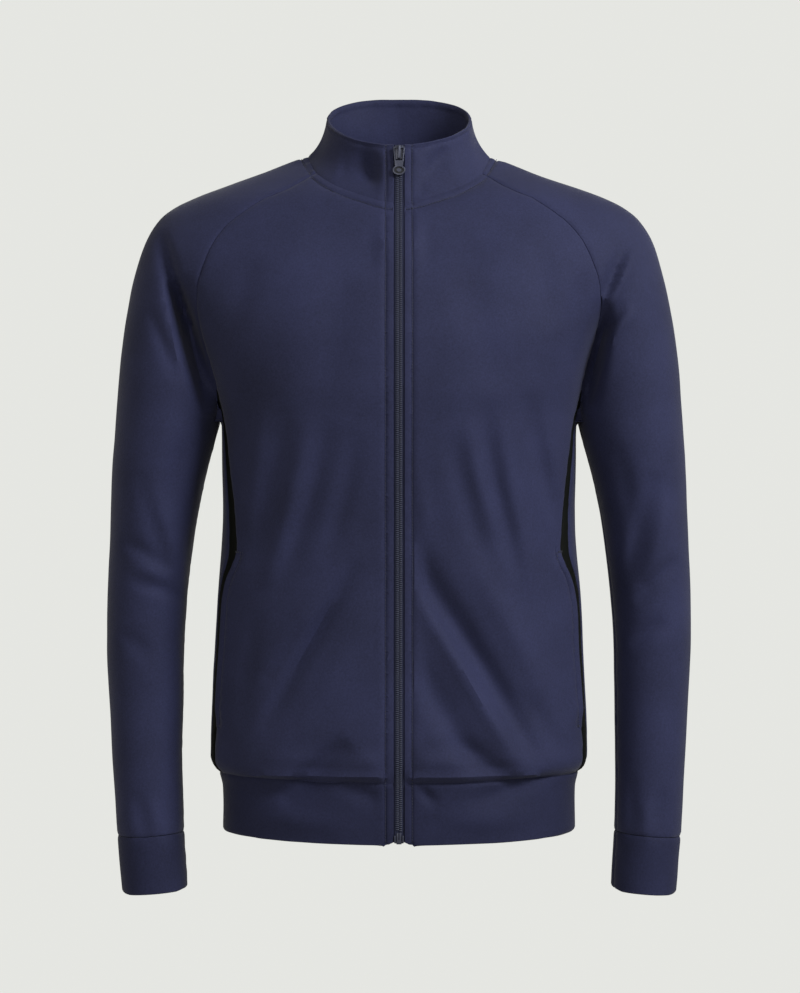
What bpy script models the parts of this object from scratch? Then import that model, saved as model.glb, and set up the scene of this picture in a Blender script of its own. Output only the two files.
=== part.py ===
"""Zip-front raglan track jacket, filled out as if worn.

Lengths are millimetres. The front faces -Y, up is +Z and +X is the wearer's left. The origin
is the middle of the neckline, level with the two points where neck meets shoulder.

The jacket is first drawn as one smooth surface: at each height the tables give its half
widths and its depth in front of and behind the side line. Each piece of cloth is then cut
from that surface along its seams, drawn back from the seam by half the seam gap, and given
its thickness inwards.
"""

import math

import bmesh
import bpy
import numpy as np
from mathutils import Matrix, Vector
from mathutils.geometry import delaunay_2d_cdt

# ---------------------------------------------------------------- driving dimensions

METRE = 0.001
WALL = 1.8              # double-knit cloth
DOUBLE_WALL = 2.8       # folded cloth of collar, hem band and cuffs
SEAM_GAP = 0.3
INNER_SETBACK = 0.3     # the inner edge of a seam stands back this much more than the outer

UNDERARM_Z = -264.0
HEM_SEAM_Z = -613.5
HEM_Z = -669.0
HEM_DIP = 4.0           # the middle of the front hangs this much lower than the sides
CUFF_SEAM_Z = -678.0
CUFF_Z = -733.0

ZIP_EDGE = 5.4          # from the middle to the turned edge of each front
LATTICE = 19.0          # spacing of the points inside a panel

BODY_SQUARE = 2.4       # exponents of the rounded sections: 2 is an ellipse
ARM_SQUARE = 2.05
YOKE_SQUARE = 2.0
JOIN_SHARPNESS = 6.0    # how sharply the arm meets the body at the armpit
YOKE_TOP, YOKE_BOTTOM = -40.0, -140.0

# Body sections: half width at the side seam, depth of front and back from the side line.
BODY_COLUMNS = ("z", "side", "front", "back")
BODY = (
    (10, 86, 0, 66),
    (0, 91, 5, 71),
    (-10, 112, 24, 76),
    (-20, 138, 40, 81),
    (-34, 172, 58, 88),
    (-45, 192, 70, 92),
    (-54, 206, 77, 96),
    (-80, 226, 92, 104),
    (-110, 230, 106, 112),
    (-146, 222, 118, 118),
    (-190, 204, 127, 121),
    (-235, 186, 128, 120),
    (-264, 177.5, 126, 117),
    (-284, 176.5, 124, 114),
    (-344, 175.5, 118, 104),
    (-384, 177, 114, 99),
    (-444, 181.5, 112, 99),
    (-484, 183.5, 112, 103),
    (-544, 186.5, 114, 111),
    (-583, 188, 116, 115),
    (-597, 188, 116, 116),
    (-606, 186.5, 115, 114),
    (-611, 183, 113.5, 112),
    (-614, 178.5, 112, 110),
    (-620, 176.5, 111.5, 109),
    (-645, 175.5, 111, 108),
    (-680, 176, 110, 108),
)

# Sleeve sections: distance of the outer and inner edge from the middle of the jacket, the
# place of the arm's line in front of (-) or behind (+) the side line, and half depths.
SLEEVE_COLUMNS = ("z", "outer", "inner", "line", "front", "back")
SLEEVE = (
    (10, 86, 30, 0, 30, 40),
    (0, 91, 45, 0, 40, 50),
    (-5, 106, 50, 0, 42, 52),
    (-17, 135, 60, 0, 45, 55),
    (-29.5, 170, 70, 0, 48, 58),
    (-41.5, 202, 80, 0, 50, 60),
    (-52, 224, 92, 0, 53, 62),
    (-63.5, 239, 104, 0, 56, 64),
    (-83.5, 252, 120, 0, 60, 67),
    (-103.5, 259, 132, 0, 63, 69),
    (-143.5, 269, 149, 0, 66, 70),
    (-203.5, 278, 165, 0, 66, 69),
    (-263.5, 283, 178.5, 0, 64, 67),
    (-283.5, 284.5, 183, 0, 63, 66),
    (-303.5, 286, 188.5, 1, 62, 64),
    (-343.5, 287.5, 198.5, 2, 59, 60),
    (-383.5, 289.5, 205.5, 3, 55, 56),
    (-443.5, 291.5, 212, 3, 50, 51),
    (-483.5, 292, 214.5, 1, 47, 47),
    (-543.5, 289, 215.5, -3, 43, 43),
    (-603.5, 285, 216, -8, 40, 40),
    (-663.5, 281, 214.5, -13, 38, 38),
    (-680, 279.5, 213.5, -15, 37, 37),
    (-723.5, 276, 210.5, -19, 35, 35),
    (-745, 274, 209, -21, 35, 35),
)

# Neckline, from the middle to the point where neck meets shoulder.
NECK_FRONT = ((0, -54), (14, -52), (38, -44.5), (62, -34), (82, -19), (91, -0.5))
NECK_BACK = ((0, 8), (30, 7.8), (58, 6.3), (80, 3.2), (91, -0.5))
RAGLAN_AT_NECK = {"front": 82, "back": 58}

# Raglan seams, from the neckline to where they pass under the arm.
RAGLAN = {
    "front": (
        (82, -19),
        (111, -37),
        (132, -46.5),
        (150, -59),
        (168.5, -74),
        (181, -91),
        (189.5, -110),
        (197.5, -137),
        (198.5, -155),
        (196, -175),
        (188.5, -204),
        (181, -235),
    ),
    "back": (
        (58, 6.3),
        (84, -14),
        (110, -34),
        (136, -56),
        (158, -80),
        (175, -107),
        (186, -138),
        (190, -165),
        (188, -195),
        (183, -228),
    ),
}
UNDER_LOOP = {
    "front": ((180.1, -247), (179.3, -256)),
    "back": ((181.2, -244), (179.8, -255)),
}
RAGLAN_STEPS = 12

# Side panel, a row for each point of its edges: distance of its front seam from the middle,
# its width along the cloth, and how far the front's edge stands off it. It stands off along
# the pocket, whose mouth is the open part of this seam.
SIDE_COLUMNS = ("z", "seam", "width", "stand_off")
SIDE_PANEL = (
    (-613.5, 175, 20, 0),
    (-602, 182, 20, 0),
    (-586, 182, 20, 0),
    (-566, 180, 20, 0),
    (-548, 179, 20, 2.6),
    (-528, 177.8, 20, 2.6),
    (-508, 176.5, 20, 2.6),
    (-488, 175.3, 20, 2.6),
    (-468, 174.3, 20, 2.6),
    (-450, 173.2, 20, 2.6),
    (-434, 171, 20, 2.6),
    (-420, 167.5, 19, 2.6),
    (-407, 162.5, 17.5, 2.0),
    (-394, 159.8, 16, 0),
    (-373, 160.6, 14.5, 0),
    (-352, 162, 13.2, 0),
    (-330, 164.2, 12, 0),
    (-306, 167.2, 11.2, 0),
    (-284, 170, 10.5, 0),
    (-264, 173.5, 9, 0),
    (-247, 177.8, 8, 0),
)
POCKET_EASE = 30.0      # how far in from the seam the front starts to stand off

# Creases: soft ridges (+) and troughs (-) from one point to another.
CREASE_COLUMNS = ("x1", "z1", "x2", "z2", "width", "height")
CREASES = {
    "front": (
        (14, -402, 72, -492, 15, -5.5),
        (58, -470, 128, -562, 15, -6.5),
        (40, -498, 124, -594, 15, 4),
        (-18, -418, -66, -478, 13, -3.5),
        (-58, -468, -124, -560, 14, -4.5),
        (-92, -488, -146, -560, 14, 3),
        (60, -586, 98, -600, 9, -2.5),
        (-56, -578, -92, -603, 9, -2.5),
        (83, -256, 108, -345, 13, -2.5),
        (126, -246, 150, -345, 12, -3.5),
        (-119, -256, -141, -360, 13, -3.5),
        (-68, -315, -108, -420, 13, -2.5),
        (-230, -99, -201, -200, 11, -4.5),
        (-238, -166, -213, -208, 9, -3.5),
        (222, -100, 209, -134, 10, -3.5),
        (231, -112, 206, -158, 10, 2.5),
        (216, -160, 195, -198, 10, -4.5),
        (-264, -396, -245, -405, 8, -3),
        (-256, -424, -232, -436, 8, -3.5),
        (-248, -340, -220, -430, 10, 2.5),
        (251, -330, 229, -414, 11, -3.5),
        (262, -420, 236, -446, 9, -2.5),
    ),
    "back": (
        (-120, -150, -165, -255, 14, -4),
        (122, -158, 166, -258, 14, -4.5),
        (-30, -350, -110, -398, 14, -3.5),
        (28, -364, 118, -404, 14, -4),
        (-24, -420, -128, -470, 15, -3.5),
        (40, -440, 132, -486, 15, -3),
        (-86, -520, -40, -596, 14, -3),
        (98, -512, 52, -598, 14, -3.5),
        (-226, -120, -198, -205, 11, -4),
        (228, -128, 200, -206, 11, -4),
        (-266, -392, -236, -410, 9, -3.5),
        (-262, -428, -232, -436, 9, -3.5),
        (266, -398, 234, -418, 9, -3.5),
        (264, -440, 236, -452, 9, -3),
    ),
}
CREASE_FADE = 30.0      # depth over which creases fade out towards the sides
ZIP_STIFF_TO = 24.0     # distance from the middle that the zip keeps free of creases
ZIP_STIFFNESS = 24.0    # distance beyond it over which creases grow

BAND_ROWS = (0, 0.12, 0.5, 1)   # rows of the hem band as shares of its height
HEM_FRONT, HEM_BACK = 12, 15    # points of half the hem seam on the front and on the back
CAP_COLUMNS = 9         # points across half a sleeve
SLEEVE_ROWS = 19        # rings from the underarm to the cuff seam

COLLAR_TOP = {"half": 72.5, "front": -66, "back": 60, "widest": 8, "front_z": 4, "rise": 0.476}
ZIP_HEIGHTS = np.linspace(-58, -610, 27)    # rows of the zip between collar and hem band
TAPE_EDGE, TAPE_BACK = 3.6, 12.0        # distances of a tape's two edges from the middle
TAPE_THICK = 1.0
TAPE_GAP = 0.45
TAPE_COLLAR_END, TAPE_BAND_START = -62.0, -605.0    # the tape sinks further under double cloth
CHAIN_TOP, CHAIN_END = 0.1, -663.7
CHAIN_HALF = 3.0        # half width of the closed coil
CHAIN_SINK, CHAIN_THICK = 0.8, 2.6      # how far it lies behind the outer cloth
BOX_TOP, BOX_END = -664.0, -675.5
BOX_HALF = 4.6
BOX_OUT = (-2.7, 0.6)
STOP_X = (0.35, 2.7)

# Slider and pull: distances outwards from the cloth and down from the collar's top edge.
STOP_OUT, STOP_DOWN = (-3.2, -0.8), (0.4, 2.9)
PLATE_HALF = 4.3
PLATE_OUT, PLATE_DOWN = (-0.5, 1.3), (1.0, 15.2)
BRIDGE_HALF = 1.9
BRIDGE_DOWN = (1.3, 14.6)
BRIDGE_CLEAR = 2.6      # height of the hole under the bridge
BRIDGE_THICK = 1.0
BRIDGE_FOOT_TOP, BRIDGE_FOOT_LOW = 0.7, 1.6
HINGE_OUT, HINGE_DOWN = 2.55, 3.3       # middle of the pull's bar
PULL_THICK = 1.4
PULL_HALF = 4.8
PULL_WINDOW_HALF = 2.8
PULL_WINDOW_END = 17.6
PULL_END_DOWN = 26.7
PULL_END_HALF, PULL_END_TALL = 6.15, 4.2
PULL_REST_Z = -27.0     # the pull hangs along the zip down to this height

COLLAR_WAIST = 6.0      # how far the stand draws in between its seam and its top
COLLAR_ROWS = 4


# ---------------------------------------------------------------- curves through tables


def curve_through(at, value):
    """A smooth curve through the points that never overshoots them, held at its ends."""
    at, value = np.array(at, float), np.array(value, float)
    order = np.argsort(at)
    at, value = at[order], value[order]
    step = np.diff(value) / np.diff(at)
    slope = np.zeros(len(at))
    slope[0], slope[-1] = step[0], step[-1]
    before, after = step[:-1], step[1:]
    same_way = before * after > 0
    total = np.where(same_way, before + after, 1.0)
    slope[1:-1] = np.where(same_way, 2 * before * after / total, 0.0)

    def read(where):
        where = np.clip(where, at[0], at[-1])
        right = np.clip(np.searchsorted(at, where), 1, len(at) - 1)
        left = right - 1
        width = at[right] - at[left]
        t = (where - at[left]) / width
        start = (1 + 2 * t) * (1 - t) ** 2 * value[left] + t * (1 - t) ** 2 * width * slope[left]
        end = t * t * (3 - 2 * t) * value[right] - t * t * (1 - t) * width * slope[right]
        return start + end

    return read


def table_curves(columns, rows):
    """One smooth curve over the first column for each other column of a table."""
    data = np.array(rows, float)
    return {columns[i]: curve_through(data[:, 0], data[:, i]) for i in range(1, len(columns))}


def lengths_along(points):
    steps = np.linalg.norm(np.diff(np.array(points, float), axis=0), axis=1)
    return np.concatenate([[0.0], np.cumsum(steps)])


def spread(points, count):
    """Count points at equal distances along a polyline."""
    points = np.array(points, float)
    length = lengths_along(points)
    wanted = np.linspace(0, length[-1], count)
    return np.stack([np.interp(wanted, length, points[:, i]) for i in range(points.shape[1])], 1)


def smooth_path(points, count):
    """Count points at equal distances along a smooth curve through a few points."""
    points = np.array(points, float)
    length = lengths_along(points)
    fine = np.linspace(0, length[-1], 400)
    curve = [curve_through(length, points[:, i])(fine) for i in range(points.shape[1])]
    return spread(np.stack(curve, 1), count)


def smooth_step(t):
    t = np.clip(t, 0, 1)
    return t * t * (3 - 2 * t)


BODY_AT = table_curves(BODY_COLUMNS, BODY)
SLEEVE_AT = table_curves(SLEEVE_COLUMNS, SLEEVE)
SIDE_ROW = {
    name: np.array(column, float) for name, column in zip(SIDE_COLUMNS, zip(*SIDE_PANEL))
}
NECK_AT = {
    "front": curve_through(*zip(*NECK_FRONT)),
    "back": curve_through(*zip(*NECK_BACK)),
}
OTHER_FACE = {"front": "back", "back": "front"}
FACE_SIGN = {"front": -1, "back": 1}

# ---------------------------------------------------------------- the jacket's surface


def rounded(u, squareness):
    return np.maximum(0.0, 1 - np.abs(u) ** squareness) ** (1 / squareness)


def depth(x, z, face):
    """Depth of the cloth from the side line, where x may be in the body or a sleeve."""
    across = np.abs(x)
    outer, inner = SLEEVE_AT["outer"](z), SLEEVE_AT["inner"](z)
    body = BODY_AT[face](z) * rounded(across / BODY_AT["side"](z), BODY_SQUARE)
    arm = SLEEVE_AT[face](z) * rounded(
        (across - (outer + inner) / 2) / ((outer - inner) / 2), ARM_SQUARE
    )
    joined = (body**JOIN_SHARPNESS + arm**JOIN_SHARPNESS) ** (1 / JOIN_SHARPNESS)
    yoke = BODY_AT[face](z) * rounded(across / outer, YOKE_SQUARE)
    share = smooth_step((z - YOKE_TOP) / (YOKE_BOTTOM - YOKE_TOP))
    return yoke * (1 - share) + joined * share


def side_line(x, z):
    """How far behind the middle plane the cloth turns from front to back."""
    return SLEEVE_AT["line"](z) * smooth_step((np.abs(x) - BODY_AT["side"](z)) / 4)


def on_surface(x, z, face):
    """The point of the cloth at x and z on one face, as columns x, y, z."""
    x, z = np.broadcast_arrays(np.asarray(x, float), np.asarray(z, float))
    return np.stack([x, side_line(x, z) + FACE_SIGN[face] * depth(x, z, face), z], -1)


def crease_height(x, z, face):
    """Height of all ridges and troughs of one face, each fading out towards its ends."""
    total = np.zeros(len(x))
    for row in CREASES[face]:
        crease = dict(zip(CREASE_COLUMNS, row))
        from_x, from_z = x - crease["x1"], z - crease["z1"]
        run_x, run_z = crease["x2"] - crease["x1"], crease["z2"] - crease["z1"]
        share = np.clip((from_x * run_x + from_z * run_z) / (run_x**2 + run_z**2), 0, 1)
        away = np.hypot(from_x - share * run_x, from_z - share * run_z)
        across = np.exp(-((away / crease["width"]) ** 2))
        total += crease["height"] * across * (1 - np.abs(2 * share - 1) ** 3)
    return total


def creased(points):
    """The points moved in or out by the creases near them."""
    x, y, z = points.T
    out = y - side_line(x, z)
    fade = smooth_step(np.abs(out) / CREASE_FADE)
    fade = fade * smooth_step((np.abs(x) - ZIP_STIFF_TO) / ZIP_STIFFNESS)
    height = np.where(out < 0, -crease_height(x, z, "front"), crease_height(x, z, "back"))
    return points + np.stack([0 * x, height * fade, 0 * z], 1)


def tape(z, face):
    """Points along the cloth at one height, from the middle of a face towards the side.

    Below the underarm the tape goes on round the side to the middle of the other face.
    """
    turn = np.linspace(0, math.pi / 2, 160)
    if z > UNDERARM_Z:
        return on_surface(SLEEVE_AT["outer"](z) * np.sin(turn), z, face)
    across = BODY_AT["side"](z) * np.sin(turn) ** (2 / BODY_SQUARE)
    here = on_surface(across, z, face)
    there = on_surface(across, z, OTHER_FACE[face])
    return np.concatenate([here, there[-2::-1]])


def measure(x, z, face, other_side=False):
    """Length along the tape from the middle of a face to x, or to x past the side."""
    points = tape(z, face)
    length = lengths_along(points)
    side = int(np.argmax(points[:, 0]))
    if not other_side:
        return float(np.interp(abs(x), points[: side + 1, 0], length[: side + 1]))
    return float(np.interp(-abs(x), -points[side:, 0], length[side:]))


def at_measure(length_wanted, z, face):
    points = tape(z, face)
    length = lengths_along(points)
    return np.array([np.interp(length_wanted, length, points[:, i]) for i in range(3)])


# ---------------------------------------------------------------- seams


def neckline(face, start, end, count):
    """Points on the neckline of one face between two distances from the middle."""
    x = np.linspace(start, end, 200)
    points = on_surface(x, NECK_AT[face](x), face)
    points[x >= NECK_FRONT[-1][0], 1] = 0.0
    return spread(points, count)


def raglan_loop(face):
    """Seam points from the neckline to the underarm, each a row of the sleeve's cap."""
    path = smooth_path(RAGLAN[face], RAGLAN_STEPS)
    flat = np.concatenate([path, UNDER_LOOP[face], [underarm_ring_end("inner")]])
    return on_surface(flat[:, 0], flat[:, 1], face)


def arm_slope(z):
    """How far the arm's line leans out for each millimetre down."""
    middle = [(SLEEVE_AT["outer"](h) + SLEEVE_AT["inner"](h)) / 2 for h in (z - 15, z + 15)]
    return float(middle[0] - middle[1]) / 30


def ring_ends(z):
    """Inner and outer end, as x and z, of a sleeve ring square to the arm."""
    half = float(SLEEVE_AT["outer"](z) - SLEEVE_AT["inner"](z)) / 2
    rise = half * arm_slope(z)
    inner = (float(SLEEVE_AT["inner"](z - rise)), z - rise)
    outer = (float(SLEEVE_AT["outer"](z + rise)), z + rise)
    return inner, outer


def underarm_ring_z():
    """Height of the ring whose inner end is the underarm."""
    z = UNDERARM_Z
    for _ in range(20):
        z += UNDERARM_Z - ring_ends(z)[0][1]
    return z


RING_TOP = underarm_ring_z()


def underarm_ring_end(which):
    inner, outer = ring_ends(RING_TOP)
    return inner if which == "inner" else outer


LOOP = {face: raglan_loop(face) for face in ("front", "back")}
CAP_ROWS = len(LOOP["front"])


# ---------------------------------------------------------------- from a sheet to a wall


def unit(vectors):
    size = np.linalg.norm(vectors, axis=-1, keepdims=True)
    return vectors / np.where(size > 1e-9, size, 1)


def point_normals(points, triangles):
    a, b, c = (points[triangles[:, i]] for i in range(3))
    face_normal = np.cross(b - a, c - a)
    normals = np.zeros_like(points)
    for i in range(3):
        np.add.at(normals, triangles[:, i], face_normal)
    return unit(normals)


def edge_pairs(triangles):
    """Edges with a triangle on one side only, each in that triangle's direction."""
    directed = np.concatenate([triangles[:, [0, 1]], triangles[:, [1, 2]], triangles[:, [2, 0]]])
    known = {tuple(edge) for edge in directed.tolist()}
    return np.array([edge for edge in directed.tolist() if (edge[1], edge[0]) not in known])


def wall(points, triangles, thickness, outset=0.0):
    """A closed wall: the sheet, its copy a thickness inwards, and its edges."""
    normals = point_normals(points, triangles)
    edges = edge_pairs(triangles)
    inwards = np.zeros_like(points)
    along = points[edges[:, 1]] - points[edges[:, 0]]
    for end in range(2):
        np.add.at(inwards, edges[:, end], unit(np.cross(normals[edges[:, end]], along)))
    inwards = unit(inwards)
    outer = points + outset * normals + SEAM_GAP / 2 * inwards
    inner = outer - thickness * normals + INNER_SETBACK * inwards
    count = len(points)
    inner_faces = triangles[:, ::-1] + count
    a, b = edges[:, 0], edges[:, 1]
    rim = np.concatenate([
        np.stack([b, a, a + count], 1),
        np.stack([b, a + count, b + count], 1),
    ])
    return np.concatenate([outer, inner]), np.concatenate([triangles, inner_faces, rim])


def grid_triangles(points, columns, closed=False):
    """Triangles of a grid of points kept row by row, each square cut the shorter way."""
    found = []
    across = columns if closed else columns - 1
    for row in range(len(points) // columns - 1):
        for column in range(across):
            a = row * columns + column
            b = row * columns + (column + 1) % columns
            c, d = b + columns, a + columns
            if np.linalg.norm(points[a] - points[c]) < np.linalg.norm(points[b] - points[d]):
                found += [(a, b, c), (a, c, d)]
            else:
                found += [(a, b, d), (b, c, d)]
    return np.array(found)


def inside(outline, point):
    x, y = outline[:, 0], outline[:, 1]
    next_x, next_y = np.roll(x, -1), np.roll(y, -1)
    crosses = (y > point[1]) != (next_y > point[1])
    rise = np.where(next_y == y, 1, next_y - y)
    return np.count_nonzero(crosses & (point[0] < x + (point[1] - y) / rise * (next_x - x))) % 2


def clear_of(outline, point, gap):
    start, end = outline, np.roll(outline, -1, 0)
    run = end - start
    t = np.clip(((point - start) * run).sum(1) / (run**2).sum(1), 0, 1)
    return np.linalg.norm(start + run * t[:, None] - point, axis=1).min() > gap


def cut_panel(flat, solid, lift_point):
    """A panel from its outline, flat and in place, filled with a lattice.

    It gives the points in place, the triangles and the points laid flat.
    """
    low, high = flat.min(0), flat.max(0)
    inner_flat, inner_solid = [], []
    rows = np.arange(low[1] + LATTICE / 2, high[1], LATTICE)
    for row, z in enumerate(rows):
        shift = LATTICE / 2 if row % 2 else 0.0
        across = np.arange(math.floor(low[0] / LATTICE) * LATTICE + shift, high[0], LATTICE)
        for m in across:
            here = np.array([m, z])
            if inside(flat, here) and clear_of(flat, here, LATTICE * 0.55):
                inner_flat.append(here)
                inner_solid.append(lift_point(m, z))
    every = np.concatenate([flat, np.array(inner_flat)])
    count = len(flat)
    made = delaunay_2d_cdt([tuple(p) for p in every], [], [list(range(count))], 1, 1e-6)
    points = np.concatenate([solid, np.array(inner_solid)])
    source = [group[0] for group in made[3]]
    triangles = np.array([[source[i] for i in face] for face in made[2]])
    return points, triangles, every


def turned_out(points, triangles, face):
    """The triangles, turned round where needed so that they face away from the body."""
    a, b, c = (points[triangles[:, i]] for i in range(3))
    facing = np.cross(b - a, c - a)[:, 1].sum() * FACE_SIGN[face]
    return triangles if facing > 0 else triangles[:, ::-1]


# ---------------------------------------------------------------- scene and materials


def clear_scene():
    for thing in list(bpy.data.objects):
        bpy.data.objects.remove(thing, do_unlink=True)


def finish(name, colour, roughness, metallic=0.0):
    material = bpy.data.materials.new(name)
    material.use_nodes = True
    shader = material.node_tree.nodes["Principled BSDF"]
    shader.inputs["Base Color"].default_value = (*colour, 1.0)
    shader.inputs["Roughness"].default_value = roughness
    shader.inputs["Metallic"].default_value = metallic
    return material


def add_mesh(name, points, triangles, material, collection):
    mesh = bpy.data.meshes.new(name)
    mesh.from_pydata((np.array(points) * METRE).tolist(), [], np.array(triangles).tolist())
    mesh.update()
    mesh.shade_smooth()
    mesh.set_sharp_from_angle(angle=math.radians(50))
    mesh.materials.append(material)
    made = bpy.data.objects.new(name, mesh)
    collection.objects.link(made)
    return made


# ---------------------------------------------------------------- pieces of cloth


def band_shares():
    """Where the points of the hem seam lie, as shares of the way from zip to middle back."""
    points = tape(HEM_SEAM_Z, "front")
    total = lengths_along(points)[-1]
    start = measure(ZIP_EDGE, HEM_SEAM_Z, "front")
    seam = measure(SIDE_ROW["seam"][0], HEM_SEAM_Z, "front")
    end = seam + SIDE_ROW["width"][0]
    parts = [
        np.linspace(start, seam, HEM_FRONT),
        [(seam + end) / 2],
        np.linspace(end, total, HEM_BACK),
    ]
    return (np.concatenate(parts) - start) / (total - start)


def band_ring(drop):
    """Half of the hem band at a share of its height, from the zip to the middle back."""
    z = HEM_SEAM_Z + (HEM_Z - HEM_SEAM_Z) * drop
    points = tape(z, "front")
    length = lengths_along(points)
    start = measure(ZIP_EDGE, z, "front")
    wanted = start + band_shares() * (length[-1] - start)
    ring = np.stack([np.interp(wanted, length, points[:, i]) for i in range(3)], 1)
    front = ring[:, 1] < 0
    ring[front, 2] -= HEM_DIP * (1 - (ring[front, 0] / BODY_AT["side"](z)) ** 2)
    return ring


def side_edges():
    """The side panel's front and back edge, from the hem up to the armhole, and lengths."""
    front_edge, back_edge, front_flat, back_flat = [], [], [], []
    for z, x, width in zip(SIDE_ROW["z"], SIDE_ROW["seam"], SIDE_ROW["width"]):
        start = measure(x, z, "front")
        front_edge.append(on_surface(x, z, "front"))
        front_flat.append(start)
        back_edge.append(at_measure(start + width, z, "front"))
        back_flat.append(start + width)
    ring = band_ring(0)
    front_edge[0], back_edge[0] = ring[HEM_FRONT - 1], ring[HEM_FRONT + 1]
    back_edge[-1] = LOOP["front"][RAGLAN_STEPS]
    return np.array(front_edge), np.array(back_edge), front_flat, back_flat


def flat_of(points, face):
    return np.array([[measure(x, z, face), z] for x, _, z in points])


def pocket_stand_off(flat, front_flat):
    """How far each point of the front stands off where the pocket edge is loose."""
    at_edge = np.interp(flat[:, 1], SIDE_ROW["z"], SIDE_ROW["stand_off"])
    inset = np.interp(flat[:, 1], SIDE_ROW["z"], front_flat) - flat[:, 0]
    return at_edge * smooth_step(1 - inset / POCKET_EASE)


def front_panel(side):
    front_edge, _, front_flat, _ = side_edges()
    hem = band_ring(0)[:HEM_FRONT]
    raglan = LOOP["front"][:RAGLAN_STEPS][::-1]
    neck = neckline("front", RAGLAN_AT_NECK["front"], ZIP_EDGE, 6)
    edge_z = np.linspace(neck[-1][2], hem[0][2], 30)
    zip_edge = on_surface(np.full(30, ZIP_EDGE), edge_z, "front")
    outline = np.concatenate([hem, front_edge[1:], raglan, neck[1:], zip_edge[1:-1]])
    flat = flat_of(outline, "front")
    points, triangles, flat = cut_panel(flat, outline, lambda m, z: at_measure(m, z, "front"))
    triangles = turned_out(points, triangles, "front")
    outwards = point_normals(points, triangles)
    points = points + outwards * pocket_stand_off(flat, front_flat)[:, None]
    if side < 0:
        triangles = triangles[:, ::-1]
    return wall(creased(points * [side, 1, 1]), triangles, WALL)


def side_panel(side):
    front_edge, back_edge, front_flat, back_flat = side_edges()
    top = LOOP["front"][RAGLAN_STEPS - 1]
    rows = len(front_edge)
    points = np.stack([front_edge, (front_edge + back_edge) / 2, back_edge], 1)
    for row, z in enumerate(SIDE_ROW["z"][:-1]):
        points[row, 1] = at_measure((front_flat[row] + back_flat[row]) / 2, z, "front")
    points[0, 1] = band_ring(0)[HEM_FRONT]
    points = points.reshape(-1, 3)
    triangles = grid_triangles(points, 3)
    points = np.concatenate([points, [top]])
    last = (rows - 1) * 3
    tip = len(points) - 1
    triangles = np.concatenate([triangles, [(last, last + 1, tip), (last + 1, last + 2, tip)]])
    points = points * [side, 1, 1]
    return wall(creased(points), turned_out(points, triangles, "front"), WALL)


def back_panel():
    _, back_edge, _, _ = side_edges()
    heights = SIDE_ROW["z"]
    hem = band_ring(0)[HEM_FRONT + 1 :][::-1]
    hem_m = lengths_along(hem)
    side_flat = [[measure_past_side(p, z), z] for p, z in zip(back_edge[:-1], heights[:-1])]
    at_side = measure(BODY_AT["side"](UNDERARM_Z), UNDERARM_Z, "back")
    under = LOOP["front"][RAGLAN_STEPS:]
    under_flat = [[at_side + abs(y), z] for _, y, z in under]
    raglan = LOOP["back"][:-1][::-1]
    neck = neckline("back", RAGLAN_AT_NECK["back"], 0, 5)
    half = np.concatenate([hem[:-1], back_edge[:-1], under, raglan, neck[1:]])
    half_flat = np.concatenate([
        np.stack([hem_m[:-1], np.full(len(hem) - 1, HEM_SEAM_Z)], 1),
        side_flat,
        under_flat,
        flat_of(raglan, "back"),
        flat_of(neck[1:], "back"),
    ])
    mirror = slice(-2, 0, -1)
    outline = np.concatenate([half, half[mirror] * [-1, 1, 1]])
    flat = np.concatenate([half_flat, half_flat[mirror] * [-1, 1]])

    def lift_point(m, z):
        return at_measure(abs(m), z, "back") * [math.copysign(1, m), 1, 1]

    points, triangles, _ = cut_panel(flat, outline, lift_point)
    return wall(creased(points), turned_out(points, triangles, "back"), WALL)


def measure_past_side(point, z):
    """Length from the middle of the back to a point that may lie past the side."""
    return measure(point[0], z, "back", other_side=point[1] < 0)


def cap_half(face, row, outer_end):
    """One row of the sleeve's cap, from its seam to the shoulder line."""
    x, _, z = LOOP[face][row]
    ease = (1 - np.cos(np.linspace(0, math.pi, 200))) / 2
    path_x = x + (outer_end[0] - x) * ease
    path_z = z + (outer_end[1] - z) * ease
    return spread(on_surface(path_x, path_z, face), CAP_COLUMNS)


def shoulder_line(share):
    """Point on the outline from neck to upper arm, as x and z."""
    end = underarm_ring_end("outer")[1]
    z = np.linspace(NECK_FRONT[-1][1], end, 300)
    line = np.stack([SLEEVE_AT["outer"](z), z], 1)
    length = lengths_along(line)
    return [np.interp(share * length[-1], length, line[:, i]) for i in range(2)]


def cap_rows():
    length = (lengths_along(LOOP["front"]) + lengths_along(LOOP["back"])) / 2
    rows = []
    for row in range(CAP_ROWS):
        if row == 0:
            front = neckline("front", RAGLAN_AT_NECK["front"], NECK_FRONT[-1][0], CAP_COLUMNS)
            back = neckline("back", RAGLAN_AT_NECK["back"], NECK_BACK[-1][0], CAP_COLUMNS)
        else:
            outer_end = shoulder_line(length[row] / length[-1])
            front = cap_half("front", row, outer_end)
            back = cap_half("back", row, outer_end)
        rows.append(np.concatenate([front, back[-2::-1]]))
    return rows


def sleeve_ring(z):
    """A closed ring of the sleeve from the under seam by the front, without its last point."""
    inner, outer = ring_ends(z)
    ease = (1 - np.cos(np.linspace(0, math.pi, 200))) / 2
    path_x = inner[0] + (outer[0] - inner[0]) * ease
    path_z = inner[1] + (outer[1] - inner[1]) * ease
    front = spread(arm_surface(path_x, path_z, "front"), CAP_COLUMNS)
    back = spread(arm_surface(path_x, path_z, "back"), CAP_COLUMNS)
    return np.concatenate([front, back[-2:0:-1]])


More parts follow.
